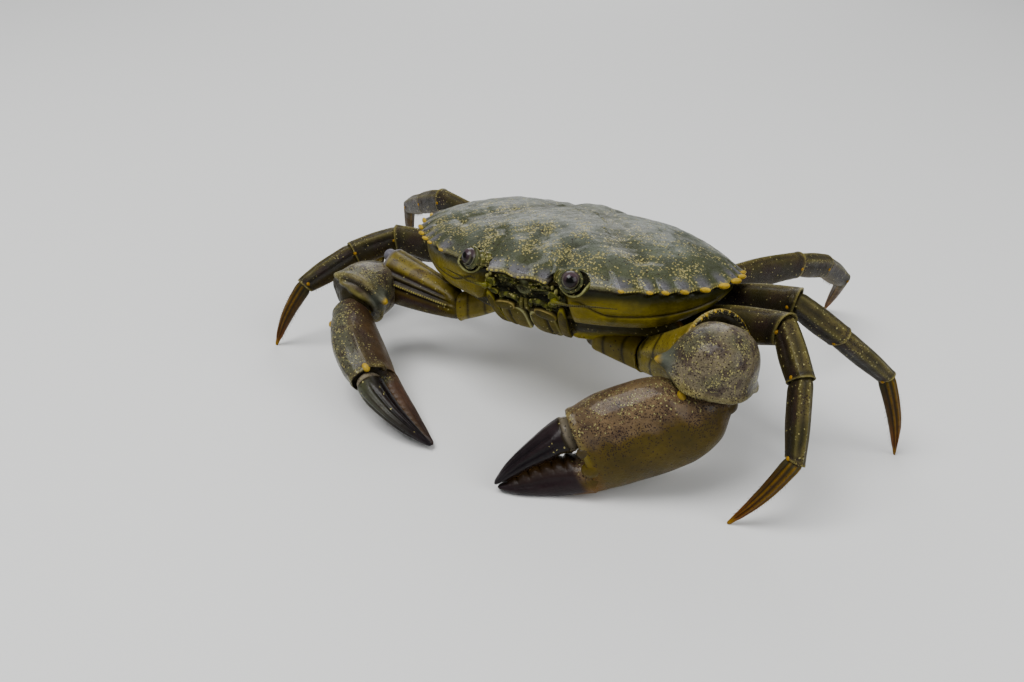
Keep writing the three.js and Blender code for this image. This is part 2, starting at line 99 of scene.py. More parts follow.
def through(x, knots, values):
    """A smooth line through the values at the knots, which never overshoots them: a cubic between
    neighbours, whose slope at a knot is the harmonic mean of the two straight slopes beside it."""
    knots, values = np.asarray(knots, float), np.asarray(values, float)
    gaps, rises = np.diff(knots), np.diff(values)
    chords = rises / gaps
    slopes = np.zeros(len(knots))
    pair = chords[:-1] * chords[1:]
    total = chords[:-1] + chords[1:]
    slopes[1:-1] = np.where(pair > 0, 2 * pair / np.where(total == 0, 1, total), 0)
    slopes[0], slopes[-1] = chords[0], chords[-1]
    x = np.clip(x, knots[0], knots[-1])
    i = np.clip(np.searchsorted(knots, x) - 1, 0, len(gaps) - 1)
    t = (x - knots[i]) / gaps[i]
    rest = values[i] + gaps[i] * t * (1 - t) * ((1 - t) * slopes[i] - t * slopes[i + 1])
    return rest + rises[i] * t * t * (3 - 2 * t)


def ripple(points, size, seed):
    """A smooth uneven field from about -1 to 1: the mean of nine sine waves that run in seeded
    random directions, with lengths round the given size in millimetres."""
    dice = np.random.default_rng(seed)
    ways = unit(dice.normal(size=(9, 3)))
    lengths = size * dice.uniform(0.7, 1.7, 9)
    shifts = dice.uniform(0, 2 * np.pi, 9)
    waves = np.sin(points @ (ways / lengths[:, None]).T * 2 * np.pi + shifts)
    return waves.sum(-1) / 3


# %% [markdown]
# ## Where the crab stands
#
# The CAD body is tilted a little, nose up and left side up, because the animal is. Rather than
# guess that place again, it is read back from the two CAD eyes, which lie evenly on either side of
# the body's middle. `body` carries points from the upright body to where the crab really is.

# %% The body's own frame
EYE = np.array([11, -22.3, 0.9])  # the crab's left eye, from the middle of its rim
NOSE_UP = 2.96 * DEG


def cad_middle(name):
    """Centre of a CAD node's box, in millimetres."""
    low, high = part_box(name)
    return np.array((low + high) / 2) / MM


def cad_corners(name):
    """Every corner of a CAD node, in millimetres, one to a row."""
    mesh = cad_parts[name].data
    corners = np.empty(3 * len(mesh.vertices), np.float32)
    mesh.vertices.foreach_get("co", corners)
    return corners.reshape(-1, 3) / MM


left_eye, right_eye = cad_middle("eye_left"), cad_middle("eye_right")
left_up = np.arcsin((left_eye - right_eye)[2] / (2 * EYE[0] * np.cos(NOSE_UP)))
TILT = np.array(Matrix.Rotation(-NOSE_UP, 3, "X") @ Matrix.Rotation(-left_up, 3, "Y"))
BODY_AT = (left_eye + right_eye) / 2 - TILT @ (EYE * [0, 1, 1])
GROUND = BODY_AT * [1, 1, 0]  # the spot on the floor that the limbs are measured from


def body(points):
    """Points of the upright body turned and moved to where the crab's body is."""
    return np.asarray(points, float) @ TILT.T + BODY_AT


print("body middle:", BODY_AT.round(2), "left side up:", round(left_up / DEG, 2), "degrees")

# %% [markdown]
# ## Shell colours
#
# Shore crab shell is green with grey on its back, olive yellow below, and orange where it thins at
# joints and tips; tooth tips and hinge knobs are amber. The colours are given as the eye sees them,
# and one function turns them to the linear light that a renderer adds up. `wash` lays one colour
# over another, by a share that may change from point to point.


# %% Colours
def linear(code):
    """An sRGB hex colour as linear light: the standard power of 2.4 above the dark end."""
    value = np.array([int(code[i : i + 2], 16) for i in (1, 3, 5)]) / 255
    return np.where(value <= 0.04045, value / 12.92, ((value + 0.055) / 1.055) ** 2.4)


def wash(tint, colour, share):
    """The tint where the share is 0 and the colour where it is 1, at each point."""
    return mix(tint, colour, np.asarray(share)[..., None])


SHELL = {
    "back": linear("#393c2a"),
    # back_pale paints the sheen on the swellings, back_groove the shade in the grooves.
    "back_pale": linear("#585c53"),
    "back_groove": linear("#2a2b16"),
    "lilac": linear("#57555a"),
    "amber": linear("#9c8547"),
    "cream": linear("#8c8352"),
    # wall is the dark upper band, painted shadow under the lip, and the dark blotches.
    "wall": linear("#1c1d03"),
    "wall_low": linear("#564c04"),
    # seam also darkens sockets, hollows, grooves and gaps between parts: painted shade.
    "seam": linear("#1c1606"),
    "ochre": linear("#86641a"),
    "plum": linear("#2a1d1e"),
    "finger": linear("#0b0609"),
    "leg": linear("#302c17"),
    "leg_pale": linear("#524a2f"),
    "leg_dark": linear("#17130d"),
    "orange": linear("#563008"),
    "membrane": linear("#3a3524"),
    "breast": linear("#7d7230"),
}

# %% [markdown]
# ## From a grid of points to a piece
#
# A surface here is a grid of points, rows of rings, with a colour for each point and three
# strengths: `gold` for yellow granules, `plum` for dark speckles, and `grit` for how far the
# granules stand up. Each piece may join several such skins. `build` closes the ends of each with
# one point, turns inside-out skins round by the sign of their volume, and keeps every corner
# inside the CAD's box.


# %% Skins and pieces
STRENGTHS = ("gold", "plum", "grit")
HAIR = 1e-6  # metres kept free between a corner and the CAD's box


def skin(points, tint, gold=0.0, plum=0.0, grit=0.3):
    """One closed-up sheet: rings of points in millimetres, with its colour and strengths."""
    shape = points.shape[:2]
    fit = lambda value, *more: np.broadcast_to(np.asarray(value, float), shape + more)
    strengths = {"gold": fit(gold), "plum": fit(plum), "grit": fit(grit)}
    return {"points": points, "tint": fit(tint, 3), **strengths}


def weave(rows, columns):
    """The faces of a closed tube of rings: four corners each, and a fan of three at each end."""
    grid = np.arange(rows * columns).reshape(rows, columns)
    beside = np.roll(grid, -1, 1)
    quads = np.stack([grid[:-1], beside[:-1], beside[1:], grid[1:]], -1).reshape(-1, 4)
    near, far = rows * columns, rows * columns + 1
    start = np.stack([np.full(columns, near), beside[0], grid[0]], -1)
    end = np.stack([np.full(columns, far), grid[-1], beside[-1]], -1)
    return quads, np.concatenate([start, end])


def with_ends(values):
    """A grid of values as a list, followed by the means of its first and last rings."""
    flat = values.reshape(-1, values.shape[-1])
    return np.concatenate([flat, values[:1].mean(1), values[-1:].mean(1)])


def build(name, skins, material, node):
    """Joins the skins in one mesh, which rides with the crab and stands for a CAD node."""
    corners, quads, fans, layers, count = [], [], [], [], 0
    for part in skins:
        points = with_ends(part["points"])
        four, three = weave(*part["points"].shape[:2])
        faces = np.concatenate([four[:, [0, 1, 2]], four[:, [0, 2, 3]], three])
        a, b, c = (points[faces[:, i]] - points.mean(0) for i in range(3))
        if np.einsum("ij,ij->i", a, np.cross(b, c)).sum() < 0:
            four, three = four[:, ::-1], three[:, ::-1]
        strengths = np.stack([part[layer] for layer in STRENGTHS], -1)
        layers.append(with_ends(np.concatenate([part["tint"], strengths], -1)))
        corners.append(points)
        quads.append(four + count)
        fans.append(three + count)
        count += len(points)
    inner_low, inner_high = np.array(cad_low) + HAIR, np.array(cad_high) - HAIR
    points = np.clip(np.concatenate(corners) * MM, inner_low, inner_high)
    faces = np.concatenate(quads).tolist() + np.concatenate(fans).tolist()
    mesh = bpy.data.meshes.new(name)
    mesh.from_pydata(points.tolist(), [], faces)
    mesh.polygons.foreach_set("use_smooth", np.ones(len(faces), bool))
    values = np.concatenate(layers)
    tint = np.concatenate([values[:, :3], np.ones((len(values), 1))], 1)
    mesh.attributes.new("tint", "FLOAT_COLOR", "POINT").data.foreach_set("color", tint.ravel())
    for i, layer in enumerate(STRENGTHS):
        mesh.attributes.new(layer, "FLOAT", "POINT").data.foreach_set("value", values[:, 3 + i])
    mesh.materials.append(material)
    piece = bpy.data.objects.new(name, mesh)
    bpy.context.scene.collection.objects.link(piece)
    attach(piece, "root")
    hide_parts(node)
    print(f"{name}: {len(faces)} faces")


# %% [markdown]
# ## Rings, tubes and beads
#
# Three shapes come back again and again. A ring is a rounded section, squarer as its power grows.
# A tube carries a round section along a path. A bead is a small ball or egg of shell, such as the
# granule on a tooth's tip or the knob of a hinge.


# %% Rings, tubes and beads
def ring(theta, power=2.0):
    """Unit superellipse: |x|^p + |y|^p = 1 at the angle theta, as x and y."""
    c, s = np.cos(theta), np.sin(theta)
    reach = (np.abs(c) ** power + np.abs(s) ** power) ** (-1 / power)
    return reach * c, reach * s


def around(count):
    """Evenly spaced angles once round."""
    return np.arange(count) * 2 * np.pi / count


def tube(path, radius, columns=10, up=(0, 0, 1)):
    """At each point of the path, a circle of that radius square to the path."""
    path = np.asarray(path, float)
    along = unit(np.gradient(path, axis=0))
    side = unit(np.cross(along, up))
    top = np.cross(side, along)
    theta = around(columns)[None, :, None]
    radius = np.broadcast_to(radius, len(path))[:, None, None]
    return path[:, None] + radius * (np.cos(theta) * side[:, None] + np.sin(theta) * top[:, None])


def bead(centre, sizes, tint, axes=np.eye(3), rows=7, columns=10, **strengths):
    """An egg: centre + size * direction along its three axes, for directions all round."""
    polar = (np.arange(rows) + 0.5)[:, None] / rows * np.pi
    theta = around(columns)[None]
    x, y, z = np.sin(polar) * np.cos(theta), np.sin(polar) * np.sin(theta), np.cos(polar) + 0 * theta
    ways = np.stack([x, y, z], -1)
    return skin(np.asarray(centre) + (ways * sizes) @ np.asarray(axes), tint, **strengths)


def smooth_path(knots, count):
    """A smooth path through the knots, with points evenly spread between them by number."""
    knots = np.asarray(knots, float)
    at = np.linspace(0, len(knots) - 1, count)
    return np.stack([through(at, np.arange(len(knots)), knots[:, i]) for i in range(3)], -1)


# %% [markdown]
# ## Wet chitin
#
# The shell is chitin hardened with lime, and it is wet: a slightly rough body under a thin film of
# water. In the shader that is an ordinary dielectric with an index of refraction near 1.55, under a
# clear coat with water's 1.33. Water on chitin is a small step in index, so the shell below the
# film reflects little, which is why its specular level is low. Its granules are 0.3 to 0.5 mm
# across, so a Voronoi pattern with cells of that size makes them: some cells are yellow, some plum,
# and all stand up a little. The piece's own colours and strengths come from its attributes, so one
# recipe serves every plate.


# %% One node at a time
def add(tree, kind, inputs=None, **settings):
    """Adds one shader node with its settings. An input gets a value, an output that feeds it, or a
    node, whose first output feeds it."""
    made = tree.nodes.new("ShaderNode" + kind)
    for name, value in settings.items():
        setattr(made, name, value)
    for socket, value in (inputs or {}).items():
        if isinstance(value, bpy.types.Node):
            value = value.outputs[0]
        if isinstance(value, bpy.types.NodeSocket):
            tree.links.new(value, made.inputs[socket])
        else:
            made.inputs[socket].default_value = value
    return made


def limits(low, high, to_low, to_high):
    """The limits of a Map Range node: low to high becomes to_low to to_high."""
    return {"From Min": low, "From Max": high, "To Min": to_low, "To Max": to_high}


# %% Wet shell
GRANULE_YELLOW = (*linear("#928b62"), 1)
SPECKLE_PLUM = (*linear("#1d1110"), 1)
NOISES = {  # millimetres from swell to swell, and how many finer layers are added
    "clouds": (6, 5),  # slow changes of colour, as in anything grown
    "fine": (1, 4),  # the grain of the shell
    "patches": (3, 3),  # where granules crowd together
    "wrinkles": (2.4, 3),  # shallow unevenness that breaks the gloss up
    "wetness": (2.5, 3),  # where the water lies thick or thin
}


def wet_chitin(name, granule, roughness, coat, relief, wrinkle=0.5):
    """Wet shell. granule is the width of one granule and relief the height of the highest, both in
    millimetres; roughness is the shell's own, coat how fully the water covers it, and wrinkle the
    height of the wrinkles as a share of relief."""
    material = bpy.data.materials.new(name)
    material.use_nodes = True
    tree = material.node_tree
    tree.nodes.clear()
    place = add(tree, "TexCoord").outputs["Object"]
    tint = add(tree, "Attribute", attribute_name="tint").outputs["Color"]
    gold, plum, grit = (
        add(tree, "Attribute", attribute_name=layer).outputs["Fac"] for layer in STRENGTHS
    )
    clouds, fine, patches, wrinkles, wetness = (
        add(tree, "TexNoise", {"Vector": place, "Scale": 1 / (size * MM), "Detail": detail})
        for size, detail in NOISES.values()
    )
    light = add(tree, "MapRange", {"Value": clouds, **limits(0.3, 0.7, 0.72, 1.3)})
    light_fine = add(tree, "MapRange", {"Value": fine, **limits(0.3, 0.7, 0.84, 1.16)})
    lightness = add(tree, "Math", {0: light, 1: light_fine}, operation="MULTIPLY")
    shell = add(tree, "VectorMath", {0: tint, "Scale": lightness}, operation="SCALE")

    # A fine noise bends the pattern by a third of a granule, so that no two have the same outline.
    wobble = add(tree, "TexNoise", {"Vector": place, "Scale": 1 / (granule * 1.1 * MM), "Detail": 2})
    wobble = add(tree, "VectorMath", {0: wobble.outputs["Color"], 1: (0.5,) * 3}, operation="SUBTRACT")
    bend = {0: wobble, 1: (1.3 * granule * MM,) * 3, 2: place}
    bent = add(tree, "VectorMath", bend, operation="MULTIPLY_ADD")
    crowd = add(tree, "MapRange", {"Value": patches, **limits(0.38, 0.62, 0.35, 1.6)})

    def speckle(width, share, colour, under):
        """Granules as Voronoi cells, where each cell's random number says if it is coloured."""
        cells = add(tree, "TexVoronoi", {"Vector": bent, "Scale": 1 / (width * MM)})
        chosen = add(tree, "SeparateColor", {"Color": cells.outputs["Color"]})
        share = add(tree, "Math", {0: share, 1: crowd}, operation="MULTIPLY")
        chosen = add(tree, "Math", {0: chosen, 1: share}, operation="LESS_THAN")
        rounded = {"Value": cells, "From Min": 0.62, "From Max": 0.3}
        dome = add(tree, "MapRange", rounded, interpolation_type="SMOOTHSTEP")
        spot = add(tree, "Math", {0: chosen, 1: dome}, operation="MULTIPLY")
        over = add(tree, "Mix", {0: spot, 6: under, 7: colour}, data_type="RGBA")
        return over.outputs[2], dome, spot

    shell, _, _ = speckle(granule * 0.85, plum, SPECKLE_PLUM, shell)
    shell, dome, spot = speckle(granule, gold, GRANULE_YELLOW, shell)

    # Water darkens a shell and deepens its colour, as it does a pebble's.
    shell = add(tree, "HueSaturation", {"Saturation": 1.18, "Value": 0.95, "Color": shell})

    # Every granule stands up, a yellow one twice as high, on top of the grain and the wrinkles.
    raised = add(tree, "Math", {0: dome, 1: spot, 2: 0.0}, operation="ADD")
    raised = add(tree, "Math", {0: raised, 1: grit}, operation="MULTIPLY")
    height = add(tree, "Math", {0: fine, 1: 0.35, 2: raised}, operation="MULTIPLY_ADD")
    height = add(tree, "Math", {0: wrinkles, 1: wrinkle, 2: height}, operation="MULTIPLY_ADD")
    bump = add(tree, "Bump", {"Height": height, "Distance": relief * MM, "Strength": 1.0})
    uneven = limits(0.3, 0.7, roughness - 0.1, roughness + 0.12)
    rough = add(tree, "MapRange", {"Value": wetness, **uneven})

    # Bare smooth parts dry first, so the film is fullest where the shell is granular.
    film = add(tree, "MapRange", {"Value": grit, **limits(0, 0.6, 0.1 * coat, coat)})
    look = {"Base Color": shell, "Roughness": rough, "Normal": bump, "IOR": 1.55, "Coat Weight": film}
    look |= {"Specular IOR Level": 0.12, "Coat Roughness": 0.1, "Coat IOR": 1.33}
    add(tree, "OutputMaterial", {"Surface": add(tree, "BsdfPrincipled", look)})
    return material


# %% Finishes
# The back is coarsely granular and wrinkled, so its gloss breaks into points and streaks.
back_shell = wet_chitin(
    "granular_wet_chitin", granule=0.45, roughness=0.42, coat=0.3, relief=0.12, wrinkle=2
)
# Eye stalks, feelers and claw fingers are smooth, with long soft highlights.
smooth_shell = wet_chitin("smooth_wet_chitin", granule=0.4, roughness=0.34, coat=0.15, relief=0.05)
# Claws have finer granules, and speckles that show through a duller gloss.
claw_shell = wet_chitin(
    "speckled_claw_chitin", granule=0.36, roughness=0.42, coat=0.25, relief=0.11, wrinkle=1.5
)
# Legs are finely rough and hold little water, so they are nearly matt.
leg_shell = wet_chitin("leg_chitin", granule=0.3, roughness=0.5, coat=0.12, relief=0.09, wrinkle=1.3)
# The lenses of the eye are too fine to see: under water they give one small sharp highlight.
cornea = wet_chitin("compound_eye_cornea", granule=0.15, roughness=0.2, coat=0.6, relief=0.005)
# The mouth and the underside have no film, so they stay dark and hardly shine.
mouth_shell = wet_chitin("mouth_chitin", granule=0.4, roughness=0.6, coat=0.0, relief=0.05)
print("finishes:", [m.name for m in bpy.data.materials])

# %% [markdown]
# ## The back plate's outline
#
# Seen from above the plate is a rounded diamond, fuller in front. Its radius at each angle comes
# from a superellipse with one power ahead of the widest line and another behind. The rim then
# stands out from that line: three low lobes over the mouth, and a row of teeth on each side whose
# outer edges run back gently and drop to a notch just before the next tip.

# %% Outline and rim
SHELL_WIDTH = 70
SHELL_FRONT, SHELL_BACK = 0.329 * SHELL_WIDTH, 0.421 * SHELL_WIDTH
DOME_HEIGHT = 0.106 * SHELL_WIDTH
LIP_RADIUS = 0.5
TEETH = np.array([44.5, 35, 30, 24, 17, 9.5, 3, -2, -7.5])  # degrees forward of the widest line
TOOTH_RISE = 1.3
NOTCH = 0.78  # how far along a tooth's outer edge its lowest point is


def outline(angle):
    """Radius in the direction angle: (|cos| / half width)^p + (|sin| / reach)^p = 1 / radius^p."""
    c, s = np.abs(np.cos(angle)), np.sin(angle)
    reach = np.where(s < 0, SHELL_FRONT, SHELL_BACK)
    power = np.where(s < 0, 2.05, 1.57)
    return ((c / (SHELL_WIDTH / 2)) ** power + (np.abs(s) / reach) ** power) ** (-1 / power)


def forward(angle):
    """Degrees forward of the widest line, the same on the left and the right."""
    return np.arctan2(-np.sin(angle), np.abs(np.cos(angle))) / DEG


def rim_relief(angle):
    """How far the rim stands out: cosine lobes along the brow, and a saw of teeth at the sides."""
    notches = TEETH[:-1] + NOTCH * np.diff(TEETH)
    knots = np.concatenate([TEETH, notches, [47, -13]])
    heights = np.concatenate([np.full(9, 0.6), np.full(8, -0.4), [0, 0]]) * TOOTH_RISE
    order = np.argsort(knots)
    f = forward(angle)
    brow = 0.5 + 0.6 * np.cos((90 - f) * 22.5 * DEG)
    return np.where(f > 74, brow, np.interp(f, knots[order], heights[order]))


def rim_level(angle):
    """The rim sinks towards the back: a power of 1.5 of how far back it is."""
    back = np.maximum(0, outline(angle) * np.sin(angle) / SHELL_BACK)
    return -0.091 * SHELL_WIDTH * back**1.5


def wall_height(angle):
    """The side wall is tall under the eyes and thin over the hind legs."""
    return 1.3 + 7 * step(forward(angle), -30, 35)


def seam_place(f):
    """How far down the side wall its seam runs, as a share of the wall's height."""
    return through(f, [-20, 5, 28, 46, 60], [0.42, 0.5, 0.62, 0.68, 0.4])


halves = np.concatenate([np.linspace(89.7, -12, 190), np.linspace(-13.2, -89.4, 60)])
ANGLES = np.concatenate([-halves, halves[::-1] + 180]) * DEG
print("columns round the plate:", len(ANGLES))

# %% [markdown]
# ## Swellings and grooves
#
# The back is mapped into regions by what lies below: stomach in front, heart behind it, gills to
# the sides. Each region is a low swelling, and grooves run between them. A swelling is a Gaussian
# hill, and a groove is a trench along a line of points, as deep as exp(-(distance / width)^2).

# %% Regions of the back
SWELLINGS = [  # across, back, half-width across, half-length, height
    (0, -7, 9, 7, 0.5),
    (6.5, -11.5, 4, 5, 0.5),
    (3.6, -18, 2.4, 2, 0.5),
    (16.5, -13.5, 4.5, 3.5, 0.45),
    (20, -4, 6, 4.5, 0.6),
    (17.5, 7, 8, 8, 0.8),
    (0, 9.5, 4.2, 5, 0.6),
    (0, 19, 4, 3.5, 0.3),
    (27, -6, 3, 3, 0.25),
]
GROOVES = [  # width, depth, and the points that the trench runs through
    (1.8, 0.5, [(0, 3.4), (2.6, 3.4), (6.5, 1.2), (11, -3.5), (14.5, -8.6), (19, -12)]),
    (1.3, 0.45, [(4.6, 2.4), (4.6, 6.5), (6, 11), (4.6, 16), (5.2, 20)]),
    (1.1, 0.4, [(0, -20.5), (0, -13)]),
    (0.8, 0.35, [(7.6, -19.5), (7.4, -15.5), (9.5, -13)]),
    (0.9, 0.4, [(20, -12), (24, -9.5), (27.5, -10.5)]),
    (0.8, 0.3, [(9, 9), (14, 13), (20, 14.5)]),
]


def trench(x, y, width, depth, line):
    """-depth * exp(-(distance to the line / width)^2), for the nearest stretch of the line."""
    nearest = np.full(x.shape, 1e9)
    for (ax, ay), (bx, by) in zip(line, line[1:]):
        dx, dy = bx - ax, by - ay
        t = np.clip(((x - ax) * dx + (y - ay) * dy) / (dx**2 + dy**2), 0, 1)
        nearest = np.minimum(nearest, np.hypot(x - ax - t * dx, y - ay - t * dy))
    return -depth * hill(nearest, 0, width)


def regions(x, y):
    """Sum of all swellings and trenches, the same on both sides, with a slight seeded ripple."""
    across = np.abs(x)
    flat = np.stack([x, y, 0 * x], -1)
    wander = 0.7 * ripple(flat, 12, 3)
    swell = sum(h * hill(across, cx, wx) * hill(y, cy, wy) for cx, cy, wx, wy, h in SWELLINGS)
    cuts = sum(trench(across + wander, y + wander, *groove) for groove in GROOVES)
    rough = 0.09 * ripple(flat, 5, 4) + 0.05 * ripple(flat, 2.2, 5)
    return swell + rough, cuts


# %% [markdown]
# ## The back plate
#
# One skin covers the whole plate. Its rings start at the top, run out over the dome to the lip,
# go down the side wall and turn in under it. A seam divides the wall in two bands of olive yellow,
# and the upper one is painted dark towards the rim, the shadow under the lip. The eye
# sockets are pressed in last: any point in front of a socket's curved back wall is moved straight
# back on to it, which leaves the sharp edge that a real socket has.


# %% Carapace
def rows_of_plate(angle):
    """Radius, height, share of the dome, and place down the wall, for each ring and angle."""
    rim, level, tall, relief = outline(angle), rim_level(angle), wall_height(angle), rim_relief(angle)
    f = forward(angle)
    t = np.linspace(0.02, 1, 92)[:, None]
    share = 0.985 * (1 - (1 - t) ** 1.35)
    radius = [share * rim + relief * share**14]
    height = [level * share**1.5 + DOME_HEIGHT * (1 - share**2.4) ** 0.8]
    place = [share + 0 * rim]
    lean = np.linspace(65, -70, 7)[:, None] * DEG
    radius.append(rim + relief - LIP_RADIUS + LIP_RADIUS * np.cos(lean))
    height.append(level - 0.05 + LIP_RADIUS * np.sin(lean))
    place.append(1.0 + 0 * rim + 0 * lean)
    down = np.linspace(0.02, 1, 50)[:, None]
    inset = through(down, [0, 0.1, 0.3, 0.55, 0.8, 1], [0.984, 0.966, 0.972, 0.968, 0.945, 0.9])
    seam = seam_place(f)
    cut = 0.4 * hill((down - seam) * tall, 0, 0.3) * step(f, -5, 8) * step(f, 66, 58)
    mouth_edge = 66.5 - 6 * down
    face = (1.2 * step(down, 0, 0.2) + 2.6 * step(down, 0.12, 0.34)) * step(f - mouth_edge, 0, 3)
    radius.append(inset * rim + relief * (1 - step(down, 0, 0.16)) - cut - face)
    height.append(level - LIP_RADIUS - (tall - LIP_RADIUS) * down)
    place.append(1 + down + 0 * rim)
    under = np.array([0.87, 0.8, 0.7, 0.6, 0.4, 0.2])[:, None]
    hem = level - tall
    radius.append(under * rim)
    height.append(mix(-4.3, hem - 0.2, np.clip((under - 0.6) / 0.3, 0, 1)))
    place.append(3 + 0 * under + 0 * rim)
    full = lambda group: np.concatenate([np.broadcast_to(a, (len(a), len(angle))) for a in group])
    return full(radius), full(height), full(place)


SOCKETS = [  # middle and half sizes: the hollow for the eye, and the notch for its stalk
    ((11.6, -23.2, 0.7), (3.3, 4.0, 3.1)),
    ((8.6, -21.9, 0.2), (2.3, 1.7, 1.5)),
]


def socket(points, side):
    """Presses the eye's socket in: y is at least middle + depth * sqrt(1 - dx^2 - dz^2)."""
    pressed = np.zeros(points.shape[:2])
    for (x, y, z), (wide, deep, tall) in SOCKETS:
        off = ((points[..., 0] - side * x) / wide) ** 2 + ((points[..., 2] - z) / tall) ** 2
        wall = y + deep * np.sqrt(np.maximum(0, 1 - off))
        hit = (off < 1) & (points[..., 1] < wall)
        points[..., 1] = np.where(hit, wall, points[..., 1])
        pressed = np.maximum(pressed, hit)
    return pressed


radius, height, place = rows_of_plate(ANGLES)
x, y = radius * np.cos(ANGLES), radius * np.sin(ANGLES)
swell, cuts = regions(x, y)
fade = step(place, 1.0, 0.9)
height = height + (swell - 0.5 * step(place, 1, 0.5) + cuts) * fade
plate = np.stack([x, y, height], -1)
hollow = np.maximum(socket(plate, 1), socket(plate, -1))
print("rings down the plate:", len(plate))

# %% [markdown]
# ## The back plate's colours
#
# The swellings are paler than the ground colour, a painted sheen of wet shell, and the grooves
# are darker, painted shade; the lobes of the rim are lilac. On the side wall the band under the
# seam is the brightest, its own olive yellow partly brightened as painted light, and the band
# above it is painted dark to the rim, the shadow under the lip. Yellow granules crowd on the front
# half, and thin out behind.

# %% Carapace colours
f = np.broadcast_to(forward(ANGLES), x.shape)
cloudy = ripple(plate, 9, 11)
# Painted sheen: the swellings are washed paler. Painted shade: the grooves are darker.
tint = wash(SHELL["back"], SHELL["back_pale"], 0.8 * step(swell + 0.25 * cloudy, -0.1, 0.9))
tint = wash(tint, SHELL["back_groove"], np.clip(-1.1 * cuts, 0, 0.85))
lobes = step(place, 0.9, 0.97) * (step(rim_relief(ANGLES), -0.3, 0.6) * step(f, -10, -6))
tint = wash(tint, SHELL["lilac"], 0.75 * lobes)
edge = step(place, 0.985, 1.0)
tint = wash(tint, SHELL["cream"], 0.22 * edge)
down = place - 1
on_wall = step(down, 0.0, 0.03)
seam_at = seam_place(f)
# Painted shadow: the wall's upper band keeps the dark wall colour up to the lip.
band = wash(SHELL["wall"], SHELL["wall_low"], 0.85 * step(down, 0.12, 0.45) * step(f, 0, 26))
# Painted light: copies of wall_low 1.25 and 1.4 times brighter, below the seam and in front.
band = wash(band, SHELL["wall_low"] * 1.25, step(down - seam_at, -0.03, 0.05) * step(f, -5, 20))
band = wash(band, SHELL["wall_low"] * 1.4, 0.8 * step(f, 30, 50) * step(down, 0.18, 0.4))
band = wash(band, SHELL["wall"], 0.6 * step(ripple(plate, 5, 12), 0.2, 1.4) * step(f, 55, 40))
# Painted shadow: the top of the wall, just under the lip, is darkened further.
band = wash(band, SHELL["seam"], step(down, 0.14, 0.02) * 0.8)
seam_line = hill((down - seam_at) * wall_height(ANGLES), 0, 0.22) * step(f, -5, 8) * step(f, 66, 58)
band = wash(band, SHELL["seam"], 0.9 * seam_line)
tint = wash(tint, band, on_wall)
# Painted shade: the eye sockets and the wall by the mouth, under the brow, are darkened.
mouth_side = step(f - 66.5 + 6 * np.clip(down, 0, 1), 0, 3)
tint = wash(tint, SHELL["seam"], 0.75 * np.maximum(hollow, on_wall * mouth_side))
front_half = step(-y, -4, 14)
flecks = 0.12 + 0.75 * front_half * step(ripple(plate, 6, 13), -0.8, 0.9)
flecks = flecks * (1 - on_wall) * (1 - lobes) * (1 - hollow)
grit = (0.35 + 0.65 * front_half) * (1 - 0.8 * on_wall)
plate_skin = skin(body(plate), tint, gold=flecks, plum=0.05 * (1 - on_wall), grit=grit)

# %% [markdown]
# ## Beads on the rim
#
# Each tooth ends in a smooth amber bead, biggest on the teeth near the widest line, and finer
# granules edge the brow and the notches. A bead is an egg set on the rim, its long axis along it.

# %% Rim beads
BEAD_SIZES = [0.44, 0.46, 0.54, 0.58, 0.68, 0.78, 0.78, 0.66, 0.54]


def rim_point(angle, inward=0.0, lift=0.0):
    """A point on the lip, moved in towards the middle and up."""
    reach = outline(angle) + rim_relief(angle) - inward
    return np.array([reach * np.cos(angle), reach * np.sin(angle), rim_level(angle) - 0.05 + lift])


def rim_axes(angle):
    """Outwards, along the rim and up, turned with the body."""
    out = np.array([np.cos(angle), np.sin(angle), 0])
    ahead = rim_point(angle + 0.02) - rim_point(angle - 0.02)
    along = unit(ahead)
    upward = unit(np.cross(out, along))
    return np.array([out, along, upward]) @ TILT.T


def rim_angle(f, side):
    """The plate's angle at f degrees forward of the widest line, on the left (1) or right (-1)."""
    return -f * DEG if side > 0 else (f - 180) * DEG


rim_beads = []
for side in (1, -1):
    for tip, size in zip(TEETH, BEAD_SIZES):
        angle = rim_angle(tip, side)
        centre, sizes = body(rim_point(angle, 0.45 * size)), [0.8 * size, 1.4 * size, 0.78 * size]
        look = {"rows": 9, "columns": 14, "grit": 0.1}
        rim_beads.append(bead(centre, sizes, SHELL["amber"], rim_axes(angle), **look))
    granules = [(f, 0.12, -0.1, [0.26, 0.4, 0.26]) for f in np.arange(75, 90.1, 1.9)]
    for f in np.arange(43, -7, -1.15):
        if np.abs(TEETH - f).min() > 1.3:
            granules.append((f, 0.1, -0.12, [0.2, 0.27, 0.2]))
    for f, inward, lift, sizes in granules:
        angle = rim_angle(f, side)
        centre = body(rim_point(angle, inward, lift))
        rim_beads.append(bead(centre, sizes, SHELL["cream"], rim_axes(angle), rows=5, columns=8))
build("carapace_plate", [plate_skin] + rim_beads, back_shell, "carapace")

# %% [markdown]
# ## Eyes
#
# A crab's eye is a ball of thousands of lenses on a short jointed stalk, and the stalk folds into a
# cup beside the brow. Whichever lenses look straight at you swallow the light, so they look like a
# pupil; the rings round it are paler pigment. Here the rings are colours by angle from an axis that
# points forwards and out, and the top of the ball is washed lilac, a painted highlight. Below, the
# cup's lower edge stands forward as a pale rim, partly a painted highlight, and the cup is painted
# dark inside as shade.

# %% Eyes and stalks
EYE_AXIS = unit(np.array([0.42, -0.83, 0.37]))
EYE_RADIUS = 1.88
EYE_RINGS = [  # degrees from the axis, and the colour from there on
    (0, "#020100"), (22, "#020100"), (30, "#140d0c"), (44, "#21191a"), (50, "#484838"),
    (55, "#2e2e20"), (61, "#0c0c05"), (69, "#111108"), (73, "#4a4b39"), (79, "#313223"),
    (86, "#1a190a"), (180, "#181609"),
]


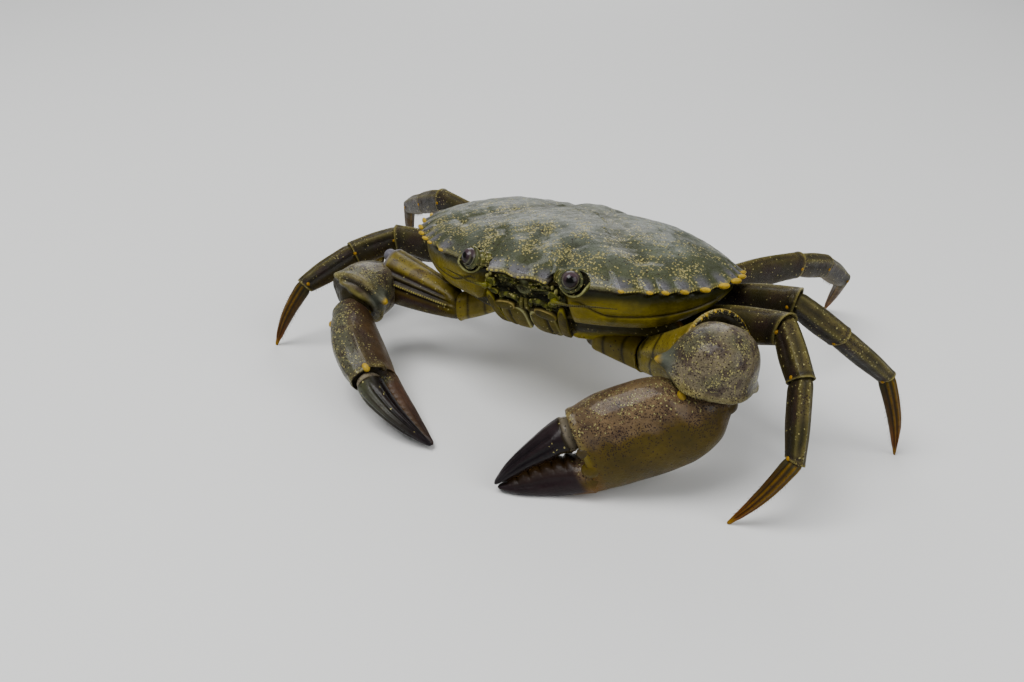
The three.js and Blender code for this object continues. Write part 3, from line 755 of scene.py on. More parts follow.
def mirrored(point, side):
    """The same point on the crab's left (side 1) or right (side -1)."""
    return np.asarray(point, float) * [side, 1, 1]


def turned(point, side):
    """A body point on that side, in the part's frame."""
    return body(mirrored(point, side))


def eyeball(eye_at, axes):
    """A ball, coloured by the angle between each direction and the eye's axis, with a painted
    highlight on top.
    """
    ball = bead(eye_at, [EYE_RADIUS] * 3, [0, 0, 0], axes, rows=90, columns=72)
    ways = (ball["points"] - eye_at) / EYE_RADIUS
    off = np.arccos(np.clip(ways @ axes[2], -1, 1)) / DEG
    codes = np.array([linear(code) for _, code in EYE_RINGS])
    tones = np.stack([np.interp(off, [a for a, _ in EYE_RINGS], codes[:, i]) for i in range(3)], -1)
    # Painted highlight: the top of the ball, outside the pupil, is washed lilac.
    above = step(ways[..., 2], 0.1, 0.75) * step(off, 20, 30)
    ball["tint"] = wash(tones, linear("#3f3338"), 0.6 * above)
    return ball


def stalk(side):
    """A tube from the middle line out to the eye, with a joint at its middle and dark bands."""
    out = unit(np.array([0.85, -0.5, 0.1]))
    reach = np.linspace(-4.6, -0.9, 30)
    widths = through(reach, [-4.6, -3.4, -2, -0.9], [1.2, 1.5, 1.6, 1.6])
    widths = widths + 0.12 * hill(reach, -2.2, 0.25) - 0.12 * hill(reach, -2.8, 0.2)
    dark = step(np.sin(reach * 6), 0.2, 0.8)[:, None] * np.ones(32)
    tint = wash(linear("#4a4a2a"), linear("#1f1d0c"), 0.7 * dark)
    return skin(tube(turned(EYE + reach[:, None] * out, side), widths, 32), tint, gold=0.35, plum=0.2)


def hoop_skin(hoop, spoke, along, thick, tint, columns, **strengths):
    """A tube carried round a closed hoop: hoop + thick * (cos * spoke + sin * along)."""
    part = around(columns)[None, :, None]
    lip = hoop[:, None] + thick * (np.cos(part) * spoke[:, None] + np.sin(part) * along)
    return skin(np.concatenate([lip, lip[:1]]), tint, **strengths)


def lid(eye_at, axes):
    """A thin fold of shell round the eye, a little behind its middle."""
    turn = around(80)[:, None]
    spoke = np.cos(turn) * axes[0] + np.sin(turn) * axes[1]
    tint = wash(linear("#2b2d1b"), linear("#575a3e"), 0.25 + 0.25 * np.sin(9 * around(16)))[None]
    hoop = eye_at - 0.15 * axes[2] + (EYE_RADIUS + 0.1) * spoke
    return hoop_skin(hoop, spoke, 1.2 * axes[2], 0.36, tint, 16, gold=0.3)


for name, side in (("left", 1), ("right", -1)):
    eye_at, axis = turned(EYE, side), mirrored(EYE_AXIS, side) @ TILT.T
    across = unit(np.cross(axis, [0, 0, 1]))
    axes = np.array([across, np.cross(across, axis), axis])
    build(f"eyeball_{name}", [eyeball(eye_at, axes)], cornea, f"eye_{name}")
    skins = [stalk(side), lid(eye_at, axes)]
    build(f"stalk_{name}", skins, smooth_shell, f"eye_stalk_{name}")

# %% [markdown]
# ## Face and mouth
#
# Between the eyes an uneven green band holds the small feelers, folded up; its raised lumps and
# ledge are painted paler, painted highlights. Below it are two hollows painted dark as shade, and
# then the doors of the mouth, the third maxillipeds: on each side a broad plate with a groove down
# it and a smaller one on its upper end, and a narrow strip outside. The face leans back going down,
# and more steeply below, so places on it are given by how far across they are and how far down the
# slope. Each plate is a pillow set on that slope, with a pale rim that is partly a painted
# highlight, and its upper end, groove and outline are painted dark as shade.

# %% Face
FACE = np.array([  # height, half-width, reach
    [-1, 7.4, 20.6], [-3, 7.6, 20.5], [-5, 8.2, 20], [-9, 8.7, 18],
    [-12.5, 8.3, 15.3], [-14.4, 7.2, 12.4], [-15.5, 5.2, 10],
])
SLOPE = np.concatenate([[0], np.cumsum(np.hypot(np.diff(FACE[:, 0]), np.diff(FACE[:, 2])))])


def on_face(x, s, out=0.0):
    """The point x across and s down the face's slope, set out from it by the given distance. Out is
    the slope's normal: its tangent (reach', height') turned a quarter."""
    reach, z = through(s, SLOPE, FACE[:, 2]), through(s, SLOPE, FACE[:, 0])
    run = through(s + 0.3, SLOPE, FACE[:, 2]) - through(s - 0.3, SLOPE, FACE[:, 2])
    drop = through(s + 0.3, SLOPE, FACE[:, 0]) - through(s - 0.3, SLOPE, FACE[:, 0])
    size = np.hypot(run, drop)
    return np.stack([x + 0 * s, -reach + out * drop / size, z + out * run / size], -1)


def face_skin():
    """Rings going down the block, each a squarish section, with the hollows pressed in."""
    z = np.linspace(-1.0, -15.5, 84)[:, None]
    half, reach = (through(-z, -FACE[:, 0], FACE[:, i]) for i in (1, 2))
    behind = np.minimum(12, reach - 3)
    x, y = ring(around(200)[None], 3.2)
    points = np.stack([x * half, y * (reach - behind) / 2 - (reach + behind) / 2, z + 0 * x], -1)
    across, facing = np.abs(points[..., 0]), y < 0
    hollow = hill(across, 3.4, 2.2) * hill(points[..., 2], -5.2, 1.3) * facing
    pit = hill(across, 2.7, 1.3) * hill(points[..., 2], -1.7, 0.45) * facing
    ledge = hill(points[..., 2] + 0.35 * hill(across, 2.5, 1.5), -2.9, 0.28) * facing
    points[..., 1] += 1.3 * hollow + 0.6 * pit - 0.5 * ledge
    lumps = ripple(points, 1.5, 63)
    points[..., 1] -= 0.22 * lumps * (points[..., 2] > -5) * facing
    # Painted highlight: the raised lumps are paler.
    tint = wash(linear("#2c2d1a"), linear("#62644a"), step(lumps, -0.6, 0.9))
    tint = wash(tint, linear("#4d4310"), 0.7 * step(points[..., 2], -7, -9))
    # Painted shade: the hollows and pits are darkened nearly to black.
    tint = wash(tint, linear("#0f0b08"), np.clip(1.0 * hollow + pit, 0, 0.85))
    # Painted highlight along the ledge.
    tint = wash(tint, linear("#6a6a3a"), 0.6 * ledge * step(lumps, -0.9, 0.6))
    return skin(body(points), tint, gold=0.2 * (1 - hollow), plum=0.15, grit=0.7)


def pillow(
    side, x, s, sizes, lean, out, tint, rim,
    power=3.0, groove=0.0, narrow=0.0, rows=36, columns=84,
):
    """A rounded plate on the face: half sizes across, down and thick, turned by lean degrees and
    narrowed downwards. Its rim is a band round the edge of its outline, pale and partly a painted
    highlight; its upper end, groove and outline are painted dark as shade."""
    polar = (np.arange(rows) + 0.5)[:, None] / rows * np.pi
    rx, ry = ring(around(columns)[None], power)
    flat = np.sin(polar) ** 0.75
    a, b = rx * flat * sizes[0], ry * flat * sizes[1]
    thick = np.sign(np.cos(polar)) * np.abs(np.cos(polar)) ** 0.55 * sizes[2]
    dent = groove * hill(a, 0.3 * sizes[0], 0.32) * (thick > 0)
    edge = hill(flat, 0.92, 0.065) * (thick > 0) * (0.35 + 0.65 * step(-rx - 0.6 * ry, -0.5, 0.4))
    thick = thick * (1 + 0.22 * edge) - dent
    a = a * (1 - narrow * ry * flat)
    c, r = np.cos(lean * DEG), np.sin(lean * DEG)
    points = on_face(x + a * c - b * r, s + a * r + b * c, out + thick)
    patchy = step(ripple(points, 3, 62), -0.2, 1.2)
    # Random darker patches, and painted shade: the same darker copy on the plate's upper end.
    colour = wash(tint, tint * 0.4, 0.7 * patchy + 0.5 * step(-ry * flat, 0.3, 0.9) * (1 - patchy))
    # Painted shade in the groove, and painted shadow round the outline where it meets the face.
    colour = wash(colour, SHELL["seam"] * 0.5, np.clip(2.6 * dent, 0, 0.9))
    colour = wash(colour, SHELL["seam"] * 0.4, 0.9 * step(flat, 0.975, 1.0))
    # The rim is pale, partly its own edge and partly a painted highlight, brightest up and in.
    colour = wash(colour, rim, 0.9 * edge)
    return skin(turned(points, side), colour, gold=0.03, plum=0.12 * patchy, grit=0.5)


def face_tube(side, knots, radius, tint, out=0.3, count=44, columns=14, **strengths):
    """A tube laid over the face through knots given as across and down the slope."""
    x, s = smooth_path([(a, b, 0) for a, b in knots], count)[:, :2].T
    lift = out + 0.6 * np.sin(np.pi * np.linspace(0, 1, count))
    return skin(tube(turned(on_face(x, s, lift), side), radius, columns), tint, **strengths)


# %% [markdown]
# ## The pieces of the face
#
# Three tables hold what lies on one side of the face: plates, jointed tubes such as the folded
# feelers, and small granules. Each row says how far across and down the slope its piece sits, and
# a loop lays them all out on both sides. The cup below the eye has a section of its own, which
# runs from outside over the lip and down to the floor.


# %% Mouth pieces
# Rim colours are partly pale edges, partly painted highlights; door * 0.6 is painted shade.
door, door_rim_and_highlight, palp = linear("#524802"), linear("#aca97c"), linear("#3c3d16")
MOUTH_PLATES = [  # across, down, half sizes, lean, height off the face, colour, rim, and settings
    (3.4, 11.2, (3.05, 4.6, 0.85), -2, 0.35, door, door_rim_and_highlight,
     {"groove": 0.4, "power": 2.9, "narrow": 0.08}),
    (4.6, 7.0, (2.5, 1.15, 0.8), 10, 0.8, door * 0.6, linear("#8a7c52"), {"power": 2.5}),
    (7.6, 10.2, (1.05, 5.5, 0.8), 7, 0.25, door, linear("#857c3c"), {"power": 2.5}),
    (7.1, 2.4, (1.2, 0.85, 0.9), 25, 0.5, palp, linear("#77773f"),
     {"power": 2.3, "rows": 24, "columns": 48}),
    (6.6, 4.2, (1.0, 0.6, 0.7), -10, 0.5, palp, linear("#8b864a"),
     {"power": 2.3, "rows": 20, "columns": 40}),
]
banded = np.linspace(0, 1, 44)
green = wash(linear("#2c2d0f"), linear("#55562a"), step(np.sin(banded * 30), -0.2, 0.8))[:, None]
FACE_TUBES = [  # places across and down, radius, colour, height off the face, yellow, plum
    ([(5.4, 6.4), (5, 4.9), (3.4, 4.2), (1.7, 4.7), (1, 6.6)],
     0.5 + 0.06 * np.sin(banded * 26), green, 0.3, 0.2, 0.2),
    ([(0.45, 4.6), (0.6, 6), (0.9, 7.4)],
     0.42, linear("#504c2a"), 0.4, 0.1, 0.0),
    ([(5.6, 0.9), (4, 0.6), (1.9, 1), (1.6, 1.7), (3.2, 1.8)],
     0.36 + 0.06 * np.sin(banded * 40), green, 0.0, 0.3, 0.2),
]
FACE_BEADS = [  # across, down, height off the face, size
    (7.7, 1.3, 1.0, 0.42), (6.9, 0.6, 1.1, 0.36), (6.3, 1.7, 1.0, 0.3), (8.2, 2.4, 0.7, 0.3),
    (5.8, 0.9, 0.8, 0.26), (7.2, 3.3, 1.2, 0.32), (6.1, 2.7, 0.9, 0.24),
]
CUP_ROWS = [  # the section of the cup below the eye: width, and depth behind the lip
    (1.02, 3.2), (1.07, 1.6), (1.07, 0.5), (1.03, 0.08), (0.97, 0), (0.92, 0.15), (0.86, 0.7),
    (0.72, 1.7), (0.4, 2.4), (0.1, 2.6),
]


def eye_cup(side):
    """The cup under the eye: rings out to a lip and back inside, its upper part sunk in the plate."""
    angle = around(96)[None]
    lower = step(-np.sin(angle), -0.35, 0.5)
    section = np.concatenate([np.linspace(*pair, 4) for pair in zip(CUP_ROWS, CUP_ROWS[1:])])
    wide, back = section[:, :1], section[:, 1:]
    tall = np.where(np.sin(angle) > 0, 1.6, 2.8)
    lip_at = mix(-19.6, -22.7, lower)
    x, z = 11.4 + 2.8 * wide * np.cos(angle), 0.7 + tall * wide * np.sin(angle)
    on_lip = hill(back, 0.05, 0.3) * (wide > 0.9) + 0 * angle
    # Painted shade: the cup is darkened inside its lip.
    tint = wash(linear("#3b3c1c"), linear("#131206"), step(wide, 0.95, 0.88) + 0 * angle)
    # The lower lip is pale, partly its own colour and partly a painted highlight.
    tint = wash(tint, linear("#86855e"), 0.7 * on_lip * lower)
    points = turned(np.stack([x, lip_at + back, z], -1), side)
    return skin(points, tint, gold=0.1 * (1 - on_lip), plum=0.1)


mouth_skins = [face_skin()]
for side in (1, -1):
    mouth_skins += [pillow(side, *row, **settings) for *row, settings in MOUTH_PLATES]
    for knots, thick, tint, out, gold, plum in FACE_TUBES:
        mouth_skins.append(face_tube(side, knots, thick, tint, out, gold=gold, plum=plum))
    for x, s, out, size in FACE_BEADS:
        spot = turned(on_face(x, np.array(s), out), side)
        tint = mix(linear("#4f4f30"), SHELL["cream"], size - 0.2)
        look = {"rows": 9, "columns": 14, "grit": 0.5, "gold": 0.3}
        mouth_skins.append(bead(spot, [size, size, 1.3 * size], tint, **look))
    mouth_skins.append(eye_cup(side))
build("face_and_mouth", mouth_skins, mouth_shell, "mouthparts")

# %% [markdown]
# ## Feelers
#
# Each long feeler starts from a beaded joint beside the eye and lies back below it along the side
# wall: a thin whip of many short rings.

# %% Feelers
FEELER = [
    (7, -21.2, -4.3), (8.2, -22.5, -4), (11, -22.6, -3.9),
    (14, -21.7, -3.7), (17, -20.7, -3.6), (19.5, -19.5, -3.7),
]
for name, side in (("left", 1), ("right", -1)):
    whip = smooth_path(FEELER, 140)
    t = np.linspace(0, 1, 140)
    lash = through(t, [0.2, 0.4, 1], [0.36, 0.24, 0.08]) + 0.025 * np.sin(t * 260)
    thick = np.where(t < 0.2, 0.6 + 0.1 * np.sin(t * 60), lash)
    rings = wash(linear("#4c4b1e"), linear("#211d0b"), step(t, 0.15, 0.4))
    rings = wash(rings, linear("#6a6430"), 0.4 * (np.sin(t * 260) > 0.6))
    whip_skin = skin(tube(turned(whip, side), thick, 12), rings[:, None], grit=0.2)
    build(f"feeler_{name}", [whip_skin], smooth_shell, f"antenna_{name}")

# %% [markdown]
# ## Breast plate and tail
#
# Underneath, the breast plate is seven segments fused together; sutures still run out from its
# middle between the legs. The tail is narrow in a male and folds forward in a groove along the
# plate. Six grooves across it part its seven segments.

# %% Breast plate
angles = around(360)[None]
f = forward(angles)
in_front, at_mouth, behind = step(f, 2, 22), step(f, 55, 75), step(-f, -8, 52)
top_share = 0.49 + 0.35 * in_front - 0.13 * at_mouth + 0.3 * behind
flank = 0.26 * hill(f, 8, 14)
mid_share = 0.45 + 0.31 * in_front - 0.16 * at_mouth + 0.27 * behind + flank
low_share = 0.39 + 0.16 * in_front - 0.16 * at_mouth + 0.22 * behind
t = np.linspace(0, 1, 60)[:, None]
top_level = rim_level(angles) - wall_height(angles) + 1.0
share = mix(mix(top_share, mid_share, step(t, 0, 0.5)), low_share, step(t, 0.4, 1) ** 0.9)
level = mix(mix(top_level, -11.2, np.clip(t / 0.5, 0, 1)), -15.0, np.clip(t / 0.5 - 1, 0, 1))
floor_share = low_share * np.linspace(0.97, 0.03, 40)[:, None]
share = np.concatenate([0.6 * top_share, share, floor_share])
sole = -15.0 - 1.1 * np.linspace(0.12, 1, 40)[:, None] ** 0.5 + 0 * angles
level = np.concatenate([level[:1] + 0.4, level, sole])
x, y = share * outline(angles) * np.cos(angles), share * outline(angles) * np.sin(angles)
bearing = np.arctan2(y + 1.5, np.abs(x)) / DEG
spread = step(np.hypot(x, y), 4, 9)
sutures = sum(hill(bearing, at, 2.0) for at in (-11, 11, 27, 44)) * spread
swell = sum(hill(bearing, at, 6) for at in (-24, 1, 19, 35, 52)) * spread
trough = hill(x, 0, 4.2) * step(y, -6, 0) * (level < -14)
pinch = 1 - 0.03 * sutures
belly = np.stack([x * pinch, y * pinch, level + 0.55 * sutures - 0.1 * swell + 0.5 * trough], -1)
tint = wash(SHELL["breast"], linear("#6d6626"), step(ripple(belly, 8, 71), -0.8, 1.4))
shaded = np.maximum(step(level, -15.2, -10), np.maximum(step(y, -11, -15), step(y, 12, 17)))
tint = wash(tint, linear("#1c1906"), 0.95 * shaded)
tint = wash(tint, linear("#4c3314"), 0.85 * sutures)
tint = wash(tint, linear("#5c4a1c"), 0.5 * trough)
belly_skin = skin(body(belly), tint, gold=0.05, plum=0.08)
build("breast_plate", [belly_skin], mouth_shell, "belly")

# %% Tail
TAIL = np.array([  # how far back, half-width, height
    (25.3, 4.5, -9.4), (22.6, 5.9, -13.4), (18.6, 6.1, -16.6), (13, 5.1, -17.2),
    (7, 3.5, -17.4), (1, 2.5, -17.3), (-3.4, 1.1, -17.1),
])
back = np.linspace(TAIL[0, 0], TAIL[-1, 0], 150)[:, None]
wide, drop = (through(-back, -TAIL[:, 0], TAIL[:, i]) for i in (1, 2))
joints = sum(hill(back, at, 0.28) for at in (22.8, 19.2, 15.2, 11, 6.6, 1.6))
x, y = ring(around(64)[None], 2.8)
level = drop + y * (0.85 - 0.3 * joints) - 0.12 * hill(x, 0, 0.3) * (y < 0)
tail = np.stack([x * wide * (1 - 0.06 * joints), back + 0 * x, level], -1)
tint = wash(SHELL["breast"], SHELL["ochre"], 0.35 * step(ripple(tail, 5, 72), -0.5, 1.2))
tint = wash(tint, SHELL["leg_pale"], 0.9 * step(back, 14, 19))
tint = wash(tint, linear("#4c3314"), 0.8 * joints)
build("tail", [skin(body(tail), tint, gold=0.05, plum=0.08)], mouth_shell, "abdomen")

# %% [markdown]
# ## How a limb is jointed
#
# A crab's limb is a row of hard tubes. The far end of each tube flares into a lipped cup, and the
# rounded head of the next one turns in it on two knobs. Both are part of one skin here: its rings
# start as a dome (the head), run along the shaft, swell at the lip, and fold back inside to make
# the cup. The joints' places come from the CAD nodes: a joint is the middle of the corners where
# two neighbouring solids face each other.


# %% Joints from the frame
JOINT_GAP = 0.75  # millimetres


def meeting(first, second):
    """Middle of the corners of two CAD nodes that lie closer together than JOINT_GAP."""
    a, b = cad_corners(first), cad_corners(second)
    apart = np.linalg.norm(a[:, None] - b[None], axis=2)
    near_a, near_b = a[apart.min(1) < JOINT_GAP], b[apart.min(0) < JOINT_GAP]
    return (near_a.mean(0) + near_b.mean(0)) / 2


def leg_joints(index, side):
    """Hip, four joints and tip of one leg. The hip is set back into the breast plate."""
    names = [f"leg_{index}_{part}_{side}" for part in ("hip", "merus", "carpus", "propodus", "dactyl")]
    joints = [meeting(a, b) for a, b in zip(names, names[1:])]
    base = cad_corners(names[0])
    inward = unit(base.mean(0) - joints[0])
    start = joints[0] + inward * (((base - joints[0]) @ inward).max() + 1.0)
    toe = cad_corners(names[-1])
    tip = toe[toe[:, 2] < 0.05].mean(0)
    return names, np.array([start, *joints, tip])


def carried_frames(joints, sign):
    """Along, front and up for each segment, turned from one to the next without twist. They start
    level with the second segment: front is square to it and to the vertical."""
    ways = unit(np.diff(joints, axis=0))
    front = sign * np.array([ways[1][1], -ways[1][0], 0])
    frames = []
    for way in ways:
        front = unit(front - (front @ way) * way)
        frames.append((way, front, -sign * np.cross(way, front)))
    return frames


# %% [markdown]
# ## One segment
#
# The shaft's half-depth and half-thickness change smoothly along it. Ridges and furrows run
# lengthways: each is a hill round the section at its own angle, 0 in front, 90 on top. The ends
# lie in the plane that shares the bend with the neighbour, so that bent limbs stay closed.


# %% Segment surface
def degrees_between(theta, angle):
    """The smallest difference between an angle in radians and one in degrees, in degrees."""
    return (theta / DEG - angle + 180) % 360 - 180


def at_angle(theta, angle, width):
    """A hill round a section: 1 at the angle, and falling off over the width, both in degrees."""
    return hill(degrees_between(theta, angle), 0, width)


def segment(
    ends, frame_of, planes, sizes, features, paint,
    columns=72, rows=34, tip=False, bow=0.0, power=2.4, lip=0.025, head=0.8, cup=1.9,
):
    """A limb tube. frame_of is its along, front and up; planes are the normals of its two ends;
    sizes are (half-depth, half-thickness) at the start, middle and end; features are (angle, width,
    height, from, to); paint(t, theta, ridge, furrow, points) gives its colours and strengths."""
    (start, end), (way, front, up) = ends, frame_of
    theta = around(columns)[None]
    lean = np.linspace(78, 12, 6) * DEG
    depth = max(sizes[0]) * 0.8
    t = [np.zeros(6), np.array([0.0, 0.03, 0.07]), np.linspace(0.11, 0.95, rows)]
    extra = [-depth * np.sin(lean), np.array([0.1, 0, 0]), np.zeros(rows)]
    scale = [head * np.cos(lean), np.array([0.82, 0.92, 0.98]), np.ones(rows)]
    if tip:
        t.append(np.array([0.97, 0.985, 0.995, 1.0]))
        extra.append(np.zeros(4))
        scale.append(np.array([1, 0.9, 0.65, 0.3]))
    else:
        t.append(np.array([0.965, 0.98, 0.99, 1, 1, 1, 1, 1, 1]))
        extra.append(np.array([0, 0, 0, 0, 0.12, 0.05, -0.3 * cup, -0.7 * cup, -cup]))
        scale.append(np.array([1, 1 + 0.7 * lip, 1 + lip, 1 + lip, 1, 0.93, 0.87, 0.75, 0.4]))
    t, extra, scale = (np.concatenate(group)[:, None] for group in (t, extra, scale))
    half_deep = through(t, [0, 0.5, 1], [s[0] for s in sizes]) * scale
    half_thick = through(t, [0, 0.5, 1], [s[1] for s in sizes]) * scale
    x, y = ring(theta, power)
    ridge, furrow, swell = 0, 0, 0
    for angle, width, rise, near, far in features:
        shape = at_angle(theta, angle, width) * step(t, near - 0.04, near + 0.04)
        shape = shape * (1 - step(t, far - 0.06, far + 0.02))
        swell = swell + rise * shape
        ridge = ridge + shape * (rise > 0)
        furrow = furrow + shape * (rise < 0)
    swell = swell * np.minimum(1, scale)
    offset = (x * half_thick + np.cos(theta) * swell)[..., None] * front
    offset = offset + (y * half_deep + np.sin(theta) * swell)[..., None] * up
    low = -(offset @ planes[0]) / (way @ planes[0])
    high = ((end - start) @ planes[1] - offset @ planes[1]) / (way @ planes[1])
    if tip:
        high = np.full_like(high, np.linalg.norm(end - start))
    reach = mix(low, high, t) + extra
    points = start + offset + reach[..., None] * way + (bow * np.sin(np.pi * t))[..., None] * up
    inner = (extra < -0.01) & (t > 0.5)
    tint, strengths = paint(t + 0 * theta, theta + 0 * t, ridge + 0 * x, furrow + 0 * x, points)
    joint = np.clip(step(scale, 0.985, 0.8) * (t < 0.2) + inner, 0, 1)
    tint = wash(tint, SHELL["membrane"], 0.85 * joint)
    return skin(points, tint, **strengths)


# %% [markdown]
# ## Leg colours
#
# A segment is olive, dark along its front face and pale on top, with cream on its ridges, painted
# shade in its furrows, and a dark band before the pale lip at its far end. A toe turns to
# orange-brown, and its furrows too are painted dark as shade.


# %% Leg colours
def leg_paint(t, theta, ridge, furrow, points):
    """Washes of colour by the angle round the segment and by the share t along it."""
    cloudy, dark = ripple(points, 5, 21), SHELL["leg_dark"]
    tint = wash(SHELL["leg"], dark, 0.75 * at_angle(theta, -5, 42))
    tint = wash(tint, SHELL["leg_pale"], 0.7 * at_angle(theta, 78, 36) * step(cloudy, -1.6, 0.4))
    tint = wash(tint, SHELL["ochre"], 0.22 * at_angle(theta, 262, 50))
    tint = wash(tint, SHELL["plum"], 0.55 * at_angle(theta, 25, 24) * step(cloudy, -0.8, 0.6))
    tint = wash(tint, SHELL["cream"] * 0.5, 0.45 * np.clip(ridge, 0, 1))
    # Painted shade: the furrows are darkened.
    tint = wash(tint, dark * 0.7, 0.6 * np.clip(furrow, 0, 1))
    tint = wash(tint, dark * 0.8, 0.7 * hill(t, 0.94, 0.025))
    tint = wash(tint, SHELL["cream"], 0.4 * step(t, 0.975, 0.99))
    gold, plum = 0.035 + 0.13 * np.clip(ridge, 0, 1), 0.5 * step(cloudy, -0.5, 0.8)
    return tint, {"gold": gold, "plum": plum, "grit": 0.6}


def toe_paint(t, theta, ridge, furrow, points):
    """A toe is orange-brown and darker to its tip, with pale ridges, and furrows darkened as
    painted shade.
    """
    tint = wash(SHELL["leg"], SHELL["orange"], 0.35 * step(t, 0.0, 0.3) + 0.65 * step(t, 0.45, 0.9))
    tint = wash(tint, SHELL["ochre"] * 0.6, 0.6 * np.clip(ridge, 0, 1) * step(t, 1.0, 0.6))
    # Painted shade in the furrows.
    tint = wash(tint, SHELL["leg_dark"], 0.75 * np.clip(furrow, 0, 1))
    tint = wash(tint, SHELL["amber"], 0.35 * step(t, 0.85, 0.97))
    return tint, {"gold": 0.0, "plum": 0.1, "grit": 0.2}


# %% [markdown]
# ## Bristles
#
# Short stiff bristles fringe the lower edge of the shin and the toe, where they feel the ground.
# A few stand on the toe's upper edge. Each is a cone with four sides, a tenth of a millimetre thick
# at its root, that leans towards the toe.


# %% Bristles
def fringe(part, angle, near, far, count, length, seed):
    """count bristles in a row at one angle round a limb's skin, from row share near to far: each
    point is root + length * (b * outward + 0.7 * b^2 * onward), for b from 0 to 1 along it."""
    dice = np.random.default_rng(seed)
    rows = part["points"]
    edge, middle = rows[:, round(angle / 360 * rows.shape[1])], rows.mean(1)
    at = np.linspace(near, far, count) * (len(rows) - 1)
    i = at.astype(int)
    roots = mix(edge[i], edge[i + 1], (at - i)[:, None])
    outward, onward = unit(roots - middle[i]), unit(middle[i + 1] - middle[i])
    outward = unit(outward + dice.normal(0, 0.22, outward.shape))
    sizes = length * dice.uniform(0.6, 1.1, count)
    bend = np.linspace(0, 1, 5)[:, None]
    bristles = []
    for root, out, on, size in zip(roots, outward, onward, sizes):
        path = root - 0.1 * out + size * (bend * out + 0.7 * bend**2 * on)
        bristles.append(skin(tube(path, 0.05 * (1 - 0.8 * bend[:, 0]), 4), linear("#2b2212")))
    return bristles


# %% [markdown]
# ## Eight walking legs
#
# The four pairs differ in length and pose, which the frame already holds, and a little in size.
# Their sections are deep and thin, for a crab runs sideways through the water's push. The toes are
# five-ridged spikes. Each joint has a brown knob in front and one behind, on which it turns.

# %% Walking legs
LEG_SIZE = [1, 1, 0.97, 0.82]
LEG_SECTIONS = {
    "hip": [(2.5, 2.2), (2.9, 2.2), (2.9, 2.1)],
    "merus": [(2.9, 2.1), (3.8, 2.2), (3.2, 2.3)],
    "carpus": [(2.7, 2.1), (3.1, 2.2), (2.9, 2.1)],
    "propodus": [(2.6, 1.9), (2.7, 1.8), (2.0, 1.6)],
    "dactyl": [(1.8, 1.5), (1.35, 1.15), (0.35, 0.35)],
}
LEG_FEATURES = {  # angle round the section, width, height, and the stretch from and to
    "hip": [(90, 14, 0.2, 0.1, 1)],
    "merus": [
        (92, 9, 0.22, 0, 1), (268, 10, 0.2, 0, 1),
        (66, 10, -0.12, 0.05, 0.9), (300, 10, -0.14, 0.05, 0.9),
    ],
    "carpus": [
        (38, 8, 0.2, 0, 1), (92, 8, 0.2, 0, 1),
        (64, 10, -0.12, 0.1, 0.9), (12, 9, -0.2, 0.1, 0.8),
    ],
    "propodus": [
        (42, 7, 0.2, 0, 1), (90, 7, 0.2, 0, 1), (66, 9, -0.14, 0, 1),
        (0, 14, -0.14, 0.05, 0.95), (275, 8, 0.15, 0, 1),
    ],
    "dactyl": [
        *((angle, 8, 0.13, 0, 0.9) for angle in (22, 62, 100, 200, 275)),
        *((angle, 9, -0.2, 0, 0.92) for angle in (42, 2, 150, 235)),
    ],
}
FRINGES = {  # angle, from, to, number of bristles, length, and what is added to the leg's seed
    "dactyl": [(264, 0.3, 0.84, 30, 0.9, 0), (102, 0.3, 0.7, 16, 0.5, 10)],
    "propodus": [(275, 0.3, 0.8, 16, 0.7, 20)],
}


def shared_plane(before, after):
    """Normal of the plane that halves the bend between two directions."""
    return unit(before + after)


for side, sign in (("left", 1), ("right", -1)):
    for index, size in enumerate(LEG_SIZE, 1):
        names, joints = leg_joints(index, side)
        frames = carried_frames(joints, sign)
        for i, part in enumerate(LEG_SECTIONS):
            way, front, up = frames[i]
            toe = part == "dactyl"
            planes = (
                way if i == 0 else shared_plane(frames[i - 1][0], way),
                way if toe else shared_plane(way, frames[i + 1][0]),
            )
            sizes = [(0.95 * deep * size, 0.95 * thick * size) for deep, thick in LEG_SECTIONS[part]]
            look = {"tip": True, "bow": 0.7, "columns": 60} if toe else {}
            shaft = segment(
                (joints[i], joints[i + 1]), frames[i], planes, sizes, LEG_FEATURES[part],
                toe_paint if toe else leg_paint, **look,
            )
            skins = [shaft]
            for *row, seed in FRINGES.get(part, ()):
                skins += fringe(shaft, *row, index + seed)
            for face in () if toe else (1, -1):
                knob = joints[i + 1] - way * 0.4 + face * front * sizes[2][1] * 0.9
                skins.append(bead(knob, [0.45 * size] * 3, SHELL["ochre"], grit=0.1))
            build(f"{names[i]}_shell", skins, leg_shell, names[i])

# %% [markdown]
# ## Claws
#
# A claw is the first limb, grown strong: a long arm, a round wrist knob, and a hand whose lower
# part runs on into a fixed finger that the movable finger shuts against. The two hands differ. The
# crusher is deep and blunt with rounded molars; the cutter is slender with small sharp teeth. A
# hand has its own coordinates: u along it from the wrist, v up across it, and s towards its outer
# face, all in millimetres. Its sides bow outwards by a sine.

